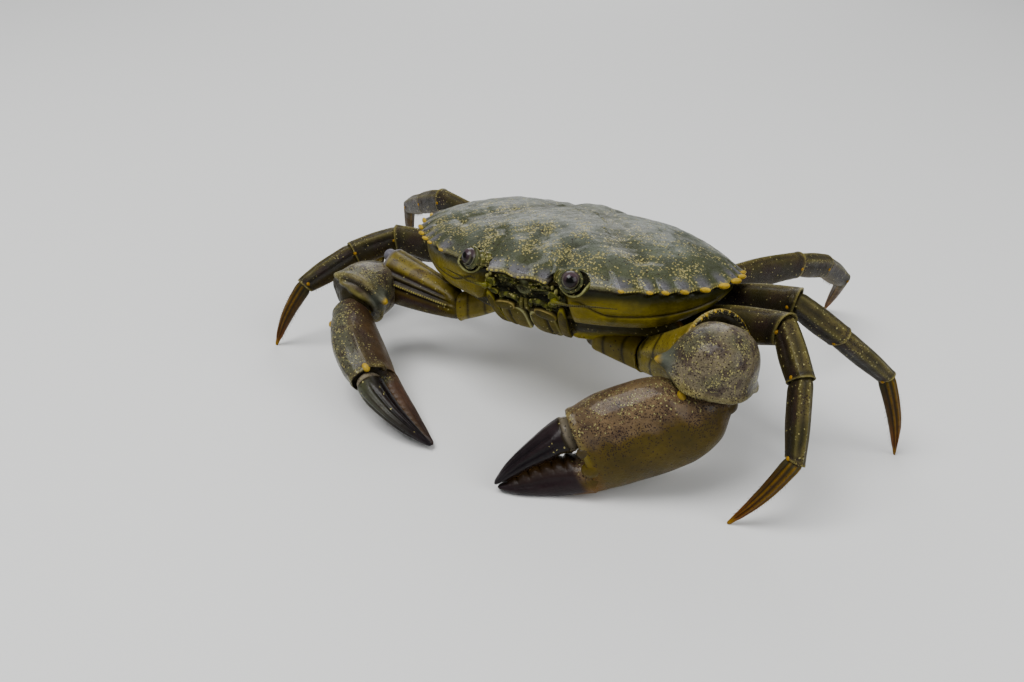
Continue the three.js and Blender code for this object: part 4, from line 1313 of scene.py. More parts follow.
# %% Claw measurements
# Places are measured from the crab's spot on the floor. The arm's two parts have rows of (half-depth,
# half-thickness), and the hand's three parts rows of (u, low edge, high edge, half-thickness).
CLAWS = {
    "left": {  # the crusher
        "hip_at": [10.5, -8.8, 19.2],
        "knee": [21.5, -9, 18.5],
        "elbow": [38.8, -16.2, 25.8],
        "hip": [(2.6, 2.5), (3.0, 2.9), (3.4, 3.2)],
        "merus": [(3.4, 3.2), (5.6, 5.4), (8.5, 8.3)],
        "knob": [39.6, -19.8, 26.6],
        "knob_size": [7.4, 7.1, 7.4],
        "spine": [31, -24, 27],
        "wrist": [39.3, -20, 18.8],
        "tip": [8.6, -42.2, 1.6],
        "up": [-0.35, -0.1, 0.92],
        "bow": 0.8,
        "palm": [
            (-3, -3.2, 0.4, 2.4), (0, -6.8, 4.5, 4.6), (4, -8.8, 6.2, 5.7), (6.7, -9.4, 8.2, 6.3),
            (11, -9.6, 9.1, 6.6), (18, -9.2, 9.4, 6.6), (24.4, -8.7, 8.4, 5.1),
        ],
        "fixed": [
            (25, -8.4, -0.9, 4.7), (28, -7.6, -0.6, 3.9), (32, -6.4, -0.1, 3), (38, -3.4, -0.2, 2),
            (41.5, -0.9, -0.2, 0.6),
        ],
        "finger": [
            (25.5, 0.4, 7.6, 3.7), (28, 1.4, 7, 3.8), (33.5, 1.3, 5.1, 3), (38.3, 0.6, 3.1, 1.9),
            (41.8, 0.1, 0.8, 0.6),
        ],
        "tooth": (2.3, 1.2),
        "cup": {"lip": 0.05, "cup": 5.0},
        "bumps": [((0.67, -0.03, -0.72), 7, 0.12), ((-0.44, -0.65, -0.63), 14, 0.07)],
    },
    "right": {  # the cutter
        "hip_at": [-14, -7, 20.5],
        "knee": [-21.5, -9.7, 17.3],
        "elbow": [-41.2, -8.8, 19],
        "hip": [(2.7, 2.6), (3.0, 2.8), (2.9, 2.8)],
        "merus": [(2.9, 2.8), (4.8, 3.9), (6.1, 4.6)],
        "knob": [-43.1, -16.3, 17.4],
        "knob_size": [6.1, 8.7, 6.2],
        "spine": [-35.8, -19, 18.2],
        "wrist": [-42.7, -23, 15.3],
        "tip": [-8.8, -37.6, 0.9],
        "up": [-0.2, -0.82, 0.52],
        "bow": 2.5,
        "palm": [
            (0, -4.6, 3.4, 3.4), (4, -5.2, 5.6, 4.2), (10, -5.2, 7.4, 4.5), (15, -4.8, 7.7, 4.3),
            (19, -4.4, 7.2, 3.5),
        ],
        "fixed": [
            (19.6, -4.2, 0.4, 2.9), (27, -3.7, 0.3, 2.1), (33, -2.4, 0.1, 1.3),
            (38.8, -0.5, 0.1, 0.45),
        ],
        "finger": [
            (20.1, 0.8, 7, 2.6), (23, 1.2, 7.3, 2.5), (29, 1.3, 6.3, 1.9), (34.8, 1.1, 4.1, 1.25),
            (39.2, 0.5, 1.1, 0.4),
        ],
        "tooth": (1.5, 0.45),
        "cup": {"lip": 0.03, "cup": 3.0},
        "bumps": [((0.55, -0.62, -0.55), 7, 0.16), ((-0.2, -0.2, 0.95), 30, 0.04)],
    },
}
PALETTE = {
    "palm_top": linear("#5b4c3a"),
    "palm_low": linear("#3d3100"),
    "palm_outer": linear("#4a493a"),
    "inner": linear("#3d3026"),
    "finger_grey": linear("#241b1c"),
    "tan": linear("#43331e"),
    "hinge": linear("#352d1c"),
    "knob": linear("#625a49"),
    "arm_top": linear("#64592c"),
    "arm_low": linear("#4b4118"),
    # arm_dark paints the shade in the arms' furrows and the cutter's dark band.
    "arm_dark": linear("#120a06"),
    "fixed_orange": linear("#573a10"),
}


# %% [markdown]
# ## A hand's own coordinates
#
# The hand is easiest to measure flat, so a few functions carry u, v and s to where the hand really
# is. One of them works the other way: it says how far any point lies off the palm's skin, which
# lets the wrist knob fit closely round the palm's heel.


# %% Hand coordinates
HAND_POWER = 2.25  # the palm's section is a little squarer than an ellipse


def claw_place(point):
    """A point measured from the crab's spot on the floor, in the part's frame."""
    return np.asarray(point, float) + GROUND


def hand_axes(claw, outer):
    """Along, up and outwards, and the hand's length. outer is -1 on the left and 1 on the right."""
    reach = claw_place(claw["tip"]) - claw_place(claw["wrist"])
    along = unit(reach)
    up = unit(np.array(claw["up"]) - (np.array(claw["up"]) @ along) * along)
    return along, up, outer * np.cross(along, up), np.linalg.norm(reach)


def bowed(claw, outer, u, length):
    """How far the hand bends to one side at u: bow * sin(pi u / length)."""
    return outer * claw["bow"] * np.sin(np.pi * np.clip(u, 0, length) / length)


def hand_points(claw, outer, u, v, s):
    """wrist + u along + v up + s outwards, plus the bow."""
    along, up, out, length = hand_axes(claw, outer)
    u, v, s = np.broadcast_arrays(u, v, s + bowed(claw, outer, u, length))
    return claw_place(claw["wrist"]) + u[..., None] * along + v[..., None] * up + s[..., None] * out


def profile(rows, u):
    """Low edge, high edge and half-thickness at u, smoothly through the measured rows."""
    rows = np.asarray(rows, float)
    return tuple(through(u, rows[:, 0], rows[:, i]) for i in (1, 2, 3))


def on_hand(claw, outer, u, v, face=1, lift=0.0):
    """The point of the palm's outer (face 1) or inner (face -1) side at u and v."""
    u, v = np.array(u, float), np.array(v, float)
    low, high, half = profile(claw["palm"], u)
    y = (v - (low + high) / 2) / ((high - low) / 2)
    x = (1 - min(abs(y), 1) ** HAND_POWER) ** (1 / HAND_POWER)
    return hand_points(claw, outer, u, v, np.array(face * (x * half + lift)))


def off_palm(claw, outer, points):
    """How far points lie off the palm's skin, as a share of its section: 0 on it, 1 twice as far
    out. It is (|v|^p + |s|^p)^(1/p) - 1, where v and s are divided by the section's half sizes."""
    along, up, out, length = hand_axes(claw, outer)
    away = points - claw_place(claw["wrist"])
    u, v, s = away @ along, away @ up, away @ out
    s = s - bowed(claw, outer, u, length)
    low, high, half = profile(claw["palm"], u)
    v, s = np.abs((2 * v - low - high) / (high - low)), np.abs(s / half)
    return (v**HAND_POWER + s**HAND_POWER) ** (1 / HAND_POWER) - 1


for side, claw in CLAWS.items():
    print(side, "hand, from wrist to tip:", hand_axes(claw, 1)[3].round(1), "mm")

# %% [markdown]
# ## The palm and the fixed finger
#
# They are one piece of shell, so they are one skin. It runs out along the palm, folds down into
# the hollow where the movable finger sits, and goes on as the fixed finger with its row of teeth.
# Two low keels run along the palm's upper and inner edges.


# %% Palm and fixed finger
def teeth(u, first, last, spacing, height):
    """A row of rounded teeth: height * sqrt|sin(pi u / spacing)|, fading at both ends."""
    row = np.sqrt(np.abs(np.sin(np.pi * (u - first) / spacing)) + 0.02)
    return height * row * step(u, first, first + 1.5) * step(u, last, last - 5)


def palm_rows(palm, fixed):
    """For each ring: u, its low and high edges, half-thickness, size, and how far it is folded."""
    u_palm = np.linspace(palm[0, 0], palm[-1, 0], 84)[:, None]
    k = np.linspace(0.06, 0.94, 11)[:, None]
    u_fixed = np.linspace(fixed[0, 0], fixed[-1, 0], 96)[:, None]
    fold = tuple(mix(a, b, k) for a, b in zip(palm[-1, 1:], fixed[0, 1:]))
    groups = zip(profile(palm, u_palm), fold, profile(fixed, u_fixed))
    lean = np.linspace(75, 10, 6)[:, None] * DEG
    edges = [np.concatenate(group) for group in groups]
    edges = [np.concatenate([edge[:1] + 0 * lean, edge]) for edge in edges]
    u_heel, u_fold = palm[0, 0] - 2 * np.sin(lean), mix(palm[-1, 0], fixed[0, 0], k)
    u = np.concatenate([u_heel, u_palm, u_fold, u_fixed])
    folding = np.concatenate([0 * lean, 0 * u_palm, np.sin(np.pi * k), 0 * u_fixed])
    size = np.ones_like(u)
    size[:6] = np.cos(lean)
    size[-3:, 0] = [0.92, 0.7, 0.35]
    return u, *edges, size, folding


def palm_skin(claw, outer, crusher):
    """Rings along u: the palm, eleven rings folding down into the hinge, then the fixed finger."""
    theta = around(110)[None]
    x, y = ring(theta, HAND_POWER)
    palm, fixed = np.array(claw["palm"]), np.array(claw["fixed"])
    first, end, start, tip = palm[0, 0], palm[-1, 0], fixed[0, 0], fixed[-1, 0]
    u, low, high, half, size, folding = palm_rows(palm, fixed)
    lip = hill(u, end - 0.5, 0.7) * (u <= end) * step(y, -0.4, 0.1)
    v = (low + high) / 2 + y * size * (high - low) / 2 + 0.25 * lip * y
    s = x * size * half + 0.25 * lip * x
    on_palm = step(u, first + 4, first + 9) * (u <= end)
    keel = (at_angle(theta, 138, 8) + 0.5 * at_angle(theta, 72, 9)) * on_palm
    furrow = at_angle(theta, 112, 13) * on_palm
    v = v + (0.45 * keel - 0.3 * furrow) * np.sin(theta)
    s = s + (0.45 * keel - 0.3 * furrow) * np.cos(theta)
    grooves = sum(at_angle(theta, angle, 11) for angle in (18, 162))
    grooves = grooves * step(u, start + 1, start + 4) * step(u, tip, tip - 6)
    s = s - 0.3 * grooves * np.cos(theta)
    biting = at_angle(theta, 90, 34) * (u > end + 0.3)
    v = v + biting * teeth(u, start + 1, tip - 0.5, *claw["tooth"])
    push = 2.2 * np.sqrt(np.clip(folding, 0, 1)) * step(y, -0.75, 0.0)
    points = hand_points(claw, outer, u - push, v, s)
    marks = {"keel": keel, "lip": lip, "folding": folding, "biting": biting}
    tint, strengths = palm_paint(crusher, points, (first, start, tip), theta, u, y, **marks)
    return skin(points, tint, **strengths)


# %% [markdown]
# ## The hand's colours
#
# The upper half is grey-brown with yellow granules and a plum speckle, the lower half is olive
# brown, and the finger turns from orange-brown to near black on the crusher and to a dull brown on
# the cutter.


# %% Palm colours
def palm_paint(crusher, points, ends, theta, u, y, keel, lip, folding, biting):
    """Colours by height across the hand and by u: ends are the u of the heel, of the finger's root
    and of its tip."""
    first, start, tip = ends
    blotch = ripple(points, 4, 31)
    grey = step(y + 0.12 * blotch, 0.02, 0.5) + 0 * u
    tint = wash(PALETTE["palm_low"], PALETTE["palm_top" if crusher else "palm_outer"], grey)
    inward = step(np.cos(theta), -0.45, -0.8) + 0 * u
    tint = wash(tint, PALETTE["inner"], 0.85 * inward * step(y, -0.8, -0.3))
    rear = step(u, first + 7, first + 1) * step(y, 0.6, -0.2)
    tint = wash(tint, SHELL["plum"], 0.35 * rear)
    tint = wash(tint, SHELL["cream"], 0.1 * keel + 0.25 * lip)
    orange = step(u, start - 3.5, start + 0.5) * step(y, 0.1, -0.6)
    tint = wash(tint, PALETTE["fixed_orange"], 0.8 * orange)

    slant = u + 0.3 * (1 - y) - 4.5 * step(y, -0.5, -0.95)
    dark = step(slant, start + 0.6, start + 2.6)
    if crusher:
        horn = wash(SHELL["finger"], SHELL["plum"], 0.3)
    else:
        pale = 0.25 + 0.6 * step(u, tip - 2, start + 4) + 0 * dark
        horn = wash(SHELL["finger"], linear("#44342b"), pale)
    tint = wash(tint, horn, dark)
    tint = wash(tint, PALETTE["finger_grey"], 0.25 * dark * at_angle(theta, -8, 14))
    worn = biting * step(u, start + 0.8, start + 2) * step(u, tip - 1, tip - 4)
    tint = wash(tint, PALETTE["tan"], 0.9 * worn)
    # Painted shade: where the skin folds down into the finger's hollow it is darkened.
    tint = wash(tint, SHELL["seam"], 0.85 * np.sqrt(np.clip(folding, 0, 1)) * step(y, -0.75, 0))
    tint = wash(tint, SHELL["plum"], 0.45 * grey * step(ripple(points, 2.2, 33), 0.0, 0.9) * (1 - dark))

    strength = (1 - dark) * (1 - step(folding, 0, 0.2))
    middle = hill(y, 0.25, 0.4) if crusher else grey
    plum = (0.05 + 0.3 * grey + 0.45 * middle + 0.35 * rear) * strength * (1 if crusher else 0.4)
    gold = (0.24 * step(y, 0.3, 0.8) if crusher else 0.24 * grey) * strength
    return tint, {"gold": gold, "plum": plum, "grit": 0.15 + 0.6 * grey * strength}


# %% [markdown]
# ## The movable finger
#
# It hinges on two knobs at the palm's end, with a band of soft grey membrane round its base. It is
# nearly black, lighter on top near the hinge and olive there on the cutter, partly its own colour
# and partly a painted highlight, with grooves along its sides painted dark as shade, and a row of
# teeth below.


# %% Movable finger
def finger_skin(claw, outer, crusher):
    """Rings along u from a rounded head in the palm's hollow to a blunt tip."""
    theta = around(90)[None]
    x, y = ring(theta, 2.2)
    rows = np.array(claw["finger"])
    first, tip = rows[0, 0], rows[-1, 0]
    lean = np.linspace(70, 8, 6)[:, None] * DEG
    shaft = np.linspace(first, tip, 110)[:, None]
    u = np.concatenate([first - 1.9 * np.sin(lean), shaft])
    size = np.concatenate([0.9 * np.cos(lean), 0.9 + 0.1 * step(shaft, first, first + 0.8)])
    size[-3:, 0] = [0.92, 0.7, 0.35]
    low, high, half = profile(rows, u)
    v = (low + high) / 2 + y * size * (high - low) / 2
    s = x * size * half
    spread = step(u, first + 1, first + 5) * step(u, tip, tip - 7)
    grooves = sum(at_angle(theta, a, 8) for a in (8, 52, 128, 172)) * spread
    ridges = sum(at_angle(theta, a, 9) for a in (30, 90, 150)) * spread
    s = s + (0.14 * ridges - 0.26 * grooves) * np.cos(theta)
    v = v + (0.14 * ridges - 0.26 * grooves) * np.sin(theta)
    spacing, height = claw["tooth"]
    biting = at_angle(theta, 270, 34) * (u > first)
    v = v - biting * teeth(u - spacing / 2, first + 2.2, tip - 1, spacing, 0.75 * height)
    points = hand_points(claw, outer, u, v, s)
    base = step(u, first + (9 if crusher else 19), first + 0.5)
    top = at_angle(theta, 75, 60)
    # The paler top is partly the finger's own colour, partly a painted highlight.
    tint = wash(SHELL["finger"], PALETTE["finger_grey"], top * (0.25 + 0.65 * base))
    if not crusher:
        tint = wash(tint, SHELL["back"], 0.85 * top * base)
    # Painted shade: a darker copy of the finger colour in the grooves.
    tint = wash(tint, SHELL["finger"] * 0.6, 0.6 * grooves)
    tint = wash(tint, PALETTE["finger_grey"], 0.4 * ridges * step(u, tip, tip - 12))
    cheek = step(u, first + 4, first + 1.5) * step(y, -0.35, -0.75)
    tint = wash(tint, linear("#3d3212"), 0.7 * cheek)
    worn = biting * step(u, first + 3, first + 5) * step(u, tip - 1, tip - 4)
    tint = wash(tint, PALETTE["tan"], 0.85 * worn)
    membrane = step(u, first + 0.7, first + 0.2)
    tint = wash(tint, SHELL["seam"], hill(u, first + 0.75, 0.25))
    tint = wash(tint, linear("#6a6355"), 0.9 * membrane)
    return skin(points, tint, gold=0.03 * base + 0 * s, plum=0.12 * base + 0 * s, grit=0.2)


# %% [markdown]
# ## The wrist knob
#
# The knob between arm and hand is nearly a ball. Its surface is an ellipsoid whose radius grows or
# shrinks near chosen directions: a broad base with a sharp amber spine on the inner side, a raised
# rim and a groove round the socket that the hand turns in, and a low lobe beside the hinge.


# %% Wrist knob
def knob_skin(centre, sizes, socket_way, spine_way, bumps, claw, outer, crusher):
    """centre + way * reach * (1 + sum of height * exp(-(angle to the bump / width)^2)), where reach
    is that of a superellipsoid, and a lip and a crack follow the edge of the palm beside it."""
    polar = (np.arange(96) + 0.5)[:, None] / 96 * np.pi
    theta = around(140)[None]
    pole = unit(socket_way)
    side = unit(np.cross(pole, [0.3, 0.9, 0.2]))
    other = np.cross(pole, side)
    spoke = np.cos(theta)[..., None] * side + np.sin(theta)[..., None] * other
    ways = np.sin(polar)[..., None] * spoke + np.cos(polar)[..., None] * pole

    def apart(way):
        """Degrees between every direction of the ball and the given one."""
        return np.arccos(np.clip(ways @ unit(np.asarray(way, float)), -1, 1)) / DEG

    from_socket, from_spine = apart(pole), apart(spine_way)
    rim = hill(from_socket, 67, 6)
    ditch = hill(from_socket, 57, 4.5)
    swell = 0.06 * rim - 0.1 * ditch - 0.24 * step(from_socket, 60, 42)
    swell = swell + 0.17 * hill(from_spine, 0, 21) + 0.26 * hill(from_spine, 0, 7)
    for way, width, height in bumps:
        swell = swell + height * hill(apart(way), 0, width)
    bumpy = ripple(ways * np.mean(sizes), 3.2, 41)
    reach = ((np.abs(ways / sizes)) ** 2.4).sum(-1) ** (-1 / 2.4)
    points = centre + ways * (reach * (1 + swell + 0.006 * bumpy))[..., None]
    near = off_palm(claw, outer, points)
    lip, crack = hill(near, 0.42, 0.16) * step(from_socket, 88, 70), step(near, 0.3, 0.16)
    points = points + (0.4 * lip - 0.3 * crack)[..., None] * unit(points - centre)
    cloudy = ripple(points, 6, 42)
    tint = wash(PALETTE["knob"], SHELL["back"], 0.6 * step(cloudy, -0.6, 0.9))
    tint = wash(tint, SHELL["plum"], 0.65 * step(ripple(points, 2.6, 43), 0.0, 0.8))
    tint = wash(tint, SHELL["cream"] * 0.7, 0.5 * rim)
    # Painted shade: the groove round the socket, and the socket where the hand goes in.
    tint = wash(tint, SHELL["seam"], np.clip(1.2 * ditch, 0, 0.95))
    tint = wash(tint, linear("#2b2a12"), 0.85 * step(from_socket, 52, 44))
    tint = wash(tint, SHELL["cream"], 0.35 * lip)
    # Painted shade along the crack beside the palm's edge.
    tint = wash(tint, SHELL["seam"], 0.9 * crack)
    tint = wash(tint, SHELL["back_pale"] * 0.7, 0.8 * step(from_spine, 32, 14))
    tint = wash(tint, SHELL["amber"], step(from_spine, 6.5, 3.5))
    for way, width, height in bumps:
        if width < 9:
            tint = wash(tint, SHELL["amber"], 0.9 * step(apart(way), 1.7 * width, 0.8 * width))
    outside = step(from_socket, 52, 60) * step(from_spine, 14, 26) * (1 - crack)
    gold, plum = (0.2 + 0.2 * step(cloudy, -0.3, 0.8)) * outside, (0.4 if crusher else 0.25) * outside
    return skin(points, tint, gold=gold, plum=plum, grit=0.2 + 0.8 * outside)


# %% [markdown]
# ## The arm
#
# The arm is three-sided inside the round limits of its CAD solid: an ochre upper face, a furrow in
# front painted dark as shade, and an olive lower face, painted darker as shade on the cutter. The
# left one opens into a wide cup with a raised lip, in which the knob sits. The base by the body is
# pale, painted darker on top as the shell's shadow, and brown sutures cross it where short joints
# are fused together.


# %% Arm
ARM_POWER = 2.2
ARM_FEATURES = {  # angle round the section, width, height, and the stretch from and to
    "left": [
        (80, 10, 0.3, 0.1, 1), (20, 12, -0.5, 0.1, 0.95),
        (-25, 9, 0.35, 0, 1), (-60, 14, -0.3, 0.05, 0.9),
    ],
    "right": [
        (104, 7, 0.3, 0, 1), (90, 6, -0.2, 0.2, 1), (26, 7, -0.4, 0.15, 1),
        (17, 3.5, 0.2, 0.15, 1), (10, 6, -0.55, 0.1, 1), (1, 3, 0.3, 0, 1), (-8, 6, -0.35, 0.1, 1),
    ],
}
BASE_FEATURES = [(80, 12, 0.25, 0, 1), (-30, 12, 0.2, 0, 1)]


def crusher_arm(tint, t, across):
    """Ochre above, paler towards the base, and olive behind."""
    tint = wash(tint, linear("#7d733e"), 0.7 * step(t, 0.8, 0.2) * step(across, 80, 30))
    return wash(tint, SHELL["leg"], 0.8 * step(across, 70, 100))


def cutter_arm(tint, t, across, patch):
    """Darker below, as painted shade, with brown clouds and a nearly black band between two lilac
    lines: the painted shadow under the arm's edge.
    """
    # Painted shade: a darker copy of the lower colour on the lower face.
    tint = wash(tint, PALETTE["arm_low"] * 0.6, 0.8 * step(across, -10, -50))
    brown = 0.7 * step(patch, 0.2, 1.2) * step(t, 0.25, 0.6) * hill(across, 70, 45)
    # Painted shade: a plum strip darkens the lower face just under the band.
    below = 0.9 * step(t, 0.1, 0.3) * step(t, 0.95, 0.7) * hill(across, -26, 14)
    tint = wash(tint, SHELL["plum"], np.maximum(brown, below))
    # Painted shadow: the nearly black band under the arm's edge.
    band = step(across, -14, -8) * step(across, 34, 27) * step(t, 0.08, 0.3)
    dark = wash(SHELL["plum"] * 0.5, PALETTE["arm_dark"] * 0.7, hill(across, 10, 6))
    tint = wash(tint, dark, 0.95 * band)
    lines = 0.3 * hill(across, 104, 8) + 0.3 * hill(across, 17, 2.5) * step(t, 0.2, 0.5)
    return wash(tint, SHELL["lilac"], lines)


def arm_paint(side):
    """Colours by the angle round the arm, with sutures across its near end."""

    def paint(t, theta, ridge, furrow, points):
        """Washes of colour by the angle round the arm and by the share t along it."""
        patch = ripple(points, 5, 51)
        across = degrees_between(theta, 0)
        tint = wash(PALETTE["arm_low"], PALETTE["arm_top"], step(across, 20, 40))
        if side == "left":
            tint = crusher_arm(tint, t, across)
            notch = 0.93 - 0.2 * hill(across, 12, 24) - 0.06 * hill(across, -40, 20)
            lip, lip_tint, sutures = step(t - notch, 0, 0.04), SHELL["leg_dark"], (0.12, 0.36)
        else:
            tint = cutter_arm(tint, t, across, patch)
            lip, lip_tint, sutures = step(t, 0.965, 0.99), SHELL["lilac"], (0.06,)
        # Painted shade in the furrows.
        tint = wash(tint, PALETTE["arm_dark"], 0.6 * np.clip(furrow, 0, 1) * step(t, 0.1, 0.3))
        tint = wash(tint, SHELL["cream"], 0.2 * np.clip(ridge, 0, 1))
        tint = wash(tint, lip_tint, 0.8 * lip)
        for at in sutures:
            tint = wash(tint, SHELL["seam"], hill(t + 0.1 * hill(across, -10, 40), at, 0.022))
        return tint, {"gold": 0.03, "plum": 0.1 + 0.1 * step(patch, 0, 1), "grit": 0.15}

    return paint


def base_paint(t, theta, ridge, furrow, points):
    """The pale base, painted darker on top as the shell's shadow, with two brown sutures across."""
    # Painted shadow: the base darkens towards its top, under the shell.
    tint = wash(linear("#786e3a"), linear("#5c4e1e"), 0.45 + 0.3 * np.sin(theta))
    for at in (0.35, 0.78):
        tint = wash(tint, SHELL["seam"], 0.85 * hill(t + 0.08 * np.sin(theta + 1), at, 0.035))
    return tint, {"gold": 0.0, "plum": 0.05, "grit": 0.15}


# %% [markdown]
# ## Granules and knobs of the claws
#
# The crusher's arm ends in a rolled lip set with amber granules, the largest where the spine of the
# knob points. The cutter's has a line of fine granules along its furrow and two knobs at its end.
# On the hand, two knobs make the hinge of the movable finger, and the others guide the wrist.


# %% Granules
LIP_GRANULES = [(14, 1.0), (-6, 0.7)] + [  # degrees round the lip, and radius
    (24 + 6.1 * i + 1.5 * np.sin(5 * i), 0.26 + 0.1 * np.sin(3 * i)) for i in range(32)
]
HAND_KNOBS = {  # u, v, face, lift, half sizes, colour, rows, columns
    "left": [
        (24, 1.8, 1, -0.3, (1.2, 1.1, 0.8), PALETTE["hinge"], 14, 20),
        (24, 1.8, -1, -0.3, (1.2, 1.1, 0.8), PALETTE["hinge"], 14, 20),
        (23.5, -2, 1, -0.8, (2.2, 1.8, 1.05), PALETTE["palm_low"] * 1.1, 16, 24),
        (4, 4.9, 1, -0.1, (0.75, 1.15, 0.8), mix(SHELL["ochre"], SHELL["cream"], 0.5), 12, 18),
    ],
    "right": [
        (18.6, 1.6, 1, -0.3, (0.8, 0.8, 0.6), PALETTE["hinge"], 14, 20),
        (18.6, 1.6, -1, -0.3, (0.8, 0.8, 0.6), PALETTE["hinge"], 14, 20),
        (18.4, 5.9, -1, -0.2, (1.1, 0.8, 0.8), SHELL["amber"], 12, 16),
        (1.2, 2, 1, 0, (1, 1.1, 0.9), SHELL["amber"], 12, 16),
    ],
}


def on_lip(elbow, frame_of, section, turn, ahead, scale, power=ARM_POWER):
    """A point of the arm's end: elbow + ahead along it + scale * its section at the angle turn."""
    (way, front, up), (wide, thick) = frame_of, section
    x, y = ring(turn, power)
    return elbow + way * ahead + front * x * thick * scale + up * y * wide * scale


def crusher_granules(knee, elbow, frame_of, sections):
    """The rolled lip of the crusher's arm, brown outside and dark within as painted shade beside
    the knob, and its granules.
    """
    hoop = on_lip(elbow, frame_of, sections[2], around(120)[:, None], -0.1, 1.02)
    # Painted shade: the lip's inner side, towards the knob, is dark.
    outside = step(np.cos(around(14)[None, :, None]), 0.1, 0.9)
    tint = mix(SHELL["leg_dark"], mix(SHELL["ochre"], SHELL["cream"], 0.6), 0.8 * outside)
    look = {"gold": 0.4, "plum": 0.2, "grit": 0.5}
    skins = [hoop_skin(hoop, unit(hoop - elbow), frame_of[0], 0.5, tint, 14, **look)]
    for degrees, size in LIP_GRANULES:
        spot = on_lip(elbow, frame_of, sections[2], degrees * DEG, 0.15, 1.03)
        skins.append(bead(spot, [size] * 3, SHELL["amber"], rows=9, columns=12, grit=0.1))
    return skins


def cutter_granules(knee, elbow, frame_of, sections):
    """A line of fine granules along the cutter's furrow, and a knob on each side of its end."""
    _, front, up = frame_of
    skins = []
    x, y = ring(1 * DEG, ARM_POWER)
    for t in np.linspace(0.12, 0.96, 30):
        deep, half = (through(t, [0, 0.5, 1], [row[i] for row in sections]) for i in (0, 1))
        spot = mix(knee, elbow, t) + front * (x * half + 0.22) + up * (y * deep - 0.1)
        skins.append(bead(spot, [0.22] * 3, SHELL["cream"], rows=5, columns=8))
    for degrees, tone, size in ((75, "lilac", 1.5), (5, "amber", 0.9)):
        spot = on_lip(elbow, frame_of, sections[2], degrees * DEG, 0.8, 0.8, power=2.0)
        skins.append(bead(spot, [size] * 3, SHELL[tone], rows=12, columns=16, grit=0.1))
    return skins


# %% [markdown]
# ## Both claws
#
# One loop puts each claw together from its measurements. The base and the arm are limb segments
# that meet in a shared plane, and the knob's socket faces the wrist.

# %% Both claws
for side, sign in (("left", 1), ("right", -1)):
    claw, outer, crusher = CLAWS[side], -sign, side == "left"
    start, knee, elbow = (claw_place(claw[at]) for at in ("hip_at", "knee", "elbow"))
    base_frame, arm_frame = carried_frames(np.array([start, knee, elbow]), sign)
    near, far = base_frame[0], arm_frame[0]
    bend = shared_plane(near, far)
    base = segment(
        (start, knee), base_frame, (near, bend), claw["hip"], BASE_FEATURES, base_paint, lip=0.04
    )
    build(f"claw_base_{side}", [base], smooth_shell, f"claw_hip_{side}")

    arm = segment(
        (knee, elbow), arm_frame, (bend, far), claw["merus"], ARM_FEATURES[side], arm_paint(side),
        columns=120, rows=60, power=ARM_POWER, **claw["cup"],
    )
    granules = crusher_granules if crusher else cutter_granules
    skins = [arm, *granules(knee, elbow, arm_frame, claw["merus"])]
    build(f"claw_arm_{side}", skins, claw_shell, f"claw_merus_{side}")

    centre, wrist, spine = (claw_place(claw[at]) for at in ("knob", "wrist", "spine"))
    sizes, ways = np.array(claw["knob_size"]), (wrist - centre, spine - centre)
    knob = knob_skin(centre, sizes, *ways, claw["bumps"], claw, outer, crusher)
    build(f"claw_wrist_{side}", [knob], claw_shell, f"claw_carpus_{side}")

    hand_frame = np.array(hand_axes(claw, outer)[:3])
    skins = [palm_skin(claw, outer, crusher)]
    for *place, sizes, tint, rows, columns in HAND_KNOBS[side]:
        spot = on_hand(claw, outer, *place)
        skins.append(bead(spot, sizes, tint, hand_frame, rows=rows, columns=columns, grit=0.1))
    build(f"claw_palm_{side}", skins, claw_shell, f"claw_hand_{side}")
    finger = finger_skin(claw, outer, crusher)
    build(f"claw_finger_{side}_shell", [finger], smooth_shell, f"claw_finger_{side}")

# %% [markdown]
# ## Floor, light and camera
#
# The crab stands on a plain pale floor under soft studio light: one wide lamp above and in front, a
# weaker one on the crab's left, and one behind that gives the wet back its sheen. The camera looks
# down on the crab from in front and from its left.

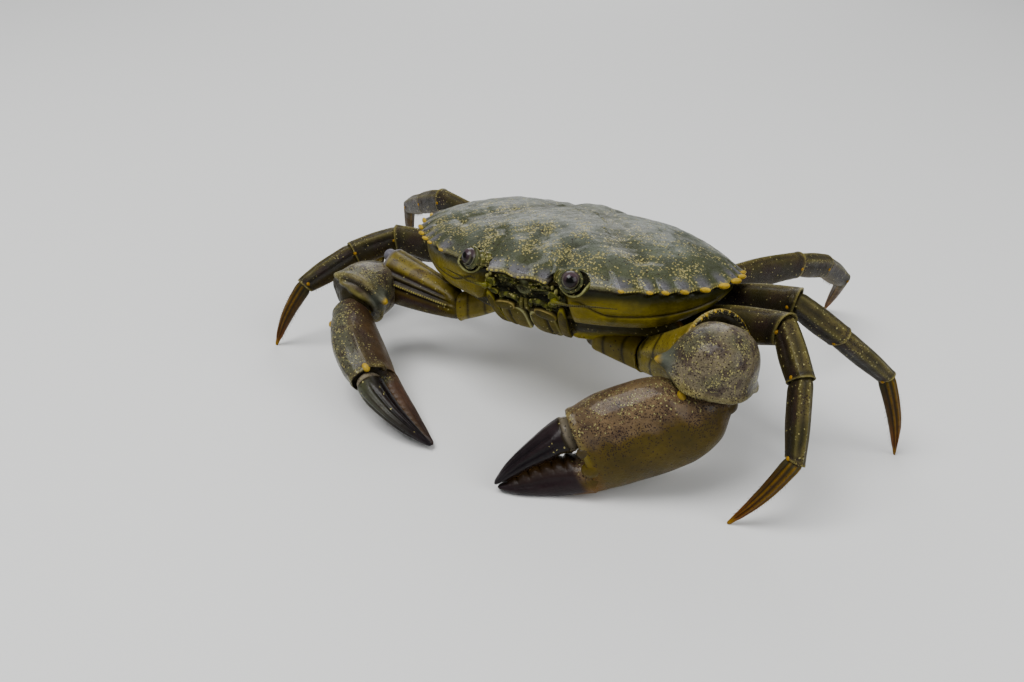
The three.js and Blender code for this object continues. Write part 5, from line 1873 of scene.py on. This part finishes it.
# %% Floor
FLOOR_HALF = 3  # metres
floor_corners = [(FLOOR_HALF * x, FLOOR_HALF * y, 0) for x, y in ((-1, -1), (1, -1), (1, 1), (-1, 1))]
floor_mesh = bpy.data.meshes.new("floor")
floor_mesh.from_pydata(floor_corners, [], [(0, 1, 2, 3)])
floor = bpy.data.objects.new("floor", floor_mesh)
bpy.context.scene.collection.objects.link(floor)
paper = bpy.data.materials.new("matt_paper_backdrop")
paper.use_nodes = True
paper_shader = paper.node_tree.nodes["Principled BSDF"]
paper_shader.inputs["Base Color"].default_value = (*linear("#d8d8d6"), 1)
paper_shader.inputs["Roughness"].default_value = 0.9
floor_mesh.materials.append(paper)
print("floor:", 2 * FLOOR_HALF, "metres square")


# %% Light
def soft_lamp(name, place, size, power):
    """A square area lamp that faces the crab from a place in metres."""
    lamp = bpy.data.lights.new(name, "AREA")
    lamp.shape = "SQUARE"
    lamp.size = size
    lamp.energy = power
    lit = bpy.data.objects.new(name, lamp)
    lit.location = place
    lit.rotation_euler = Vector(place).to_track_quat("Z", "Y").to_euler()
    bpy.context.scene.collection.objects.link(lit)


soft_lamp("key_lamp", (-0.15, -0.35, 0.75), 0.5, 8.5)
soft_lamp("fill_lamp", (0.7, -0.1, 0.45), 0.6, 4.1)
soft_lamp("sheen_lamp", (-0.4, 0.65, 0.45), 0.6, 3.2)
world = bpy.data.worlds.new("studio")
world.use_nodes = True
world.node_tree.nodes["Background"].inputs["Color"].default_value = (0.92, 0.95, 1, 1)
world.node_tree.nodes["Background"].inputs["Strength"].default_value = 0.3
bpy.context.scene.world = world

# %% Camera
CAMERA_AT = GROUND + [90.15, -172.37, 111.3]  # millimetres, from the spot under the crab
ROUND, DOWN, LEAN = 31.3 * DEG, 27.4 * DEG, 1.9 * DEG
ahead = np.array([-np.sin(ROUND) * np.cos(DOWN), np.cos(ROUND) * np.cos(DOWN), -np.sin(DOWN)])
right = np.array([np.cos(ROUND), np.sin(ROUND), 0])
above = np.cross(right, ahead)
right, above = (
    np.cos(LEAN) * right + np.sin(LEAN) * above,
    np.cos(LEAN) * above - np.sin(LEAN) * right,
)
view = bpy.data.cameras.new("view")
view.lens = 35.5
view.sensor_width = 36
view.clip_start = 0.01
camera = bpy.data.objects.new("view", view)
facing = Matrix(np.stack([right, above, -ahead], 1)).to_4x4()
camera.matrix_world = Matrix.Translation(CAMERA_AT * MM) @ facing
bpy.context.scene.collection.objects.link(camera)
bpy.context.scene.camera = camera
print("camera:", (CAMERA_AT * MM).round(3), "metres")
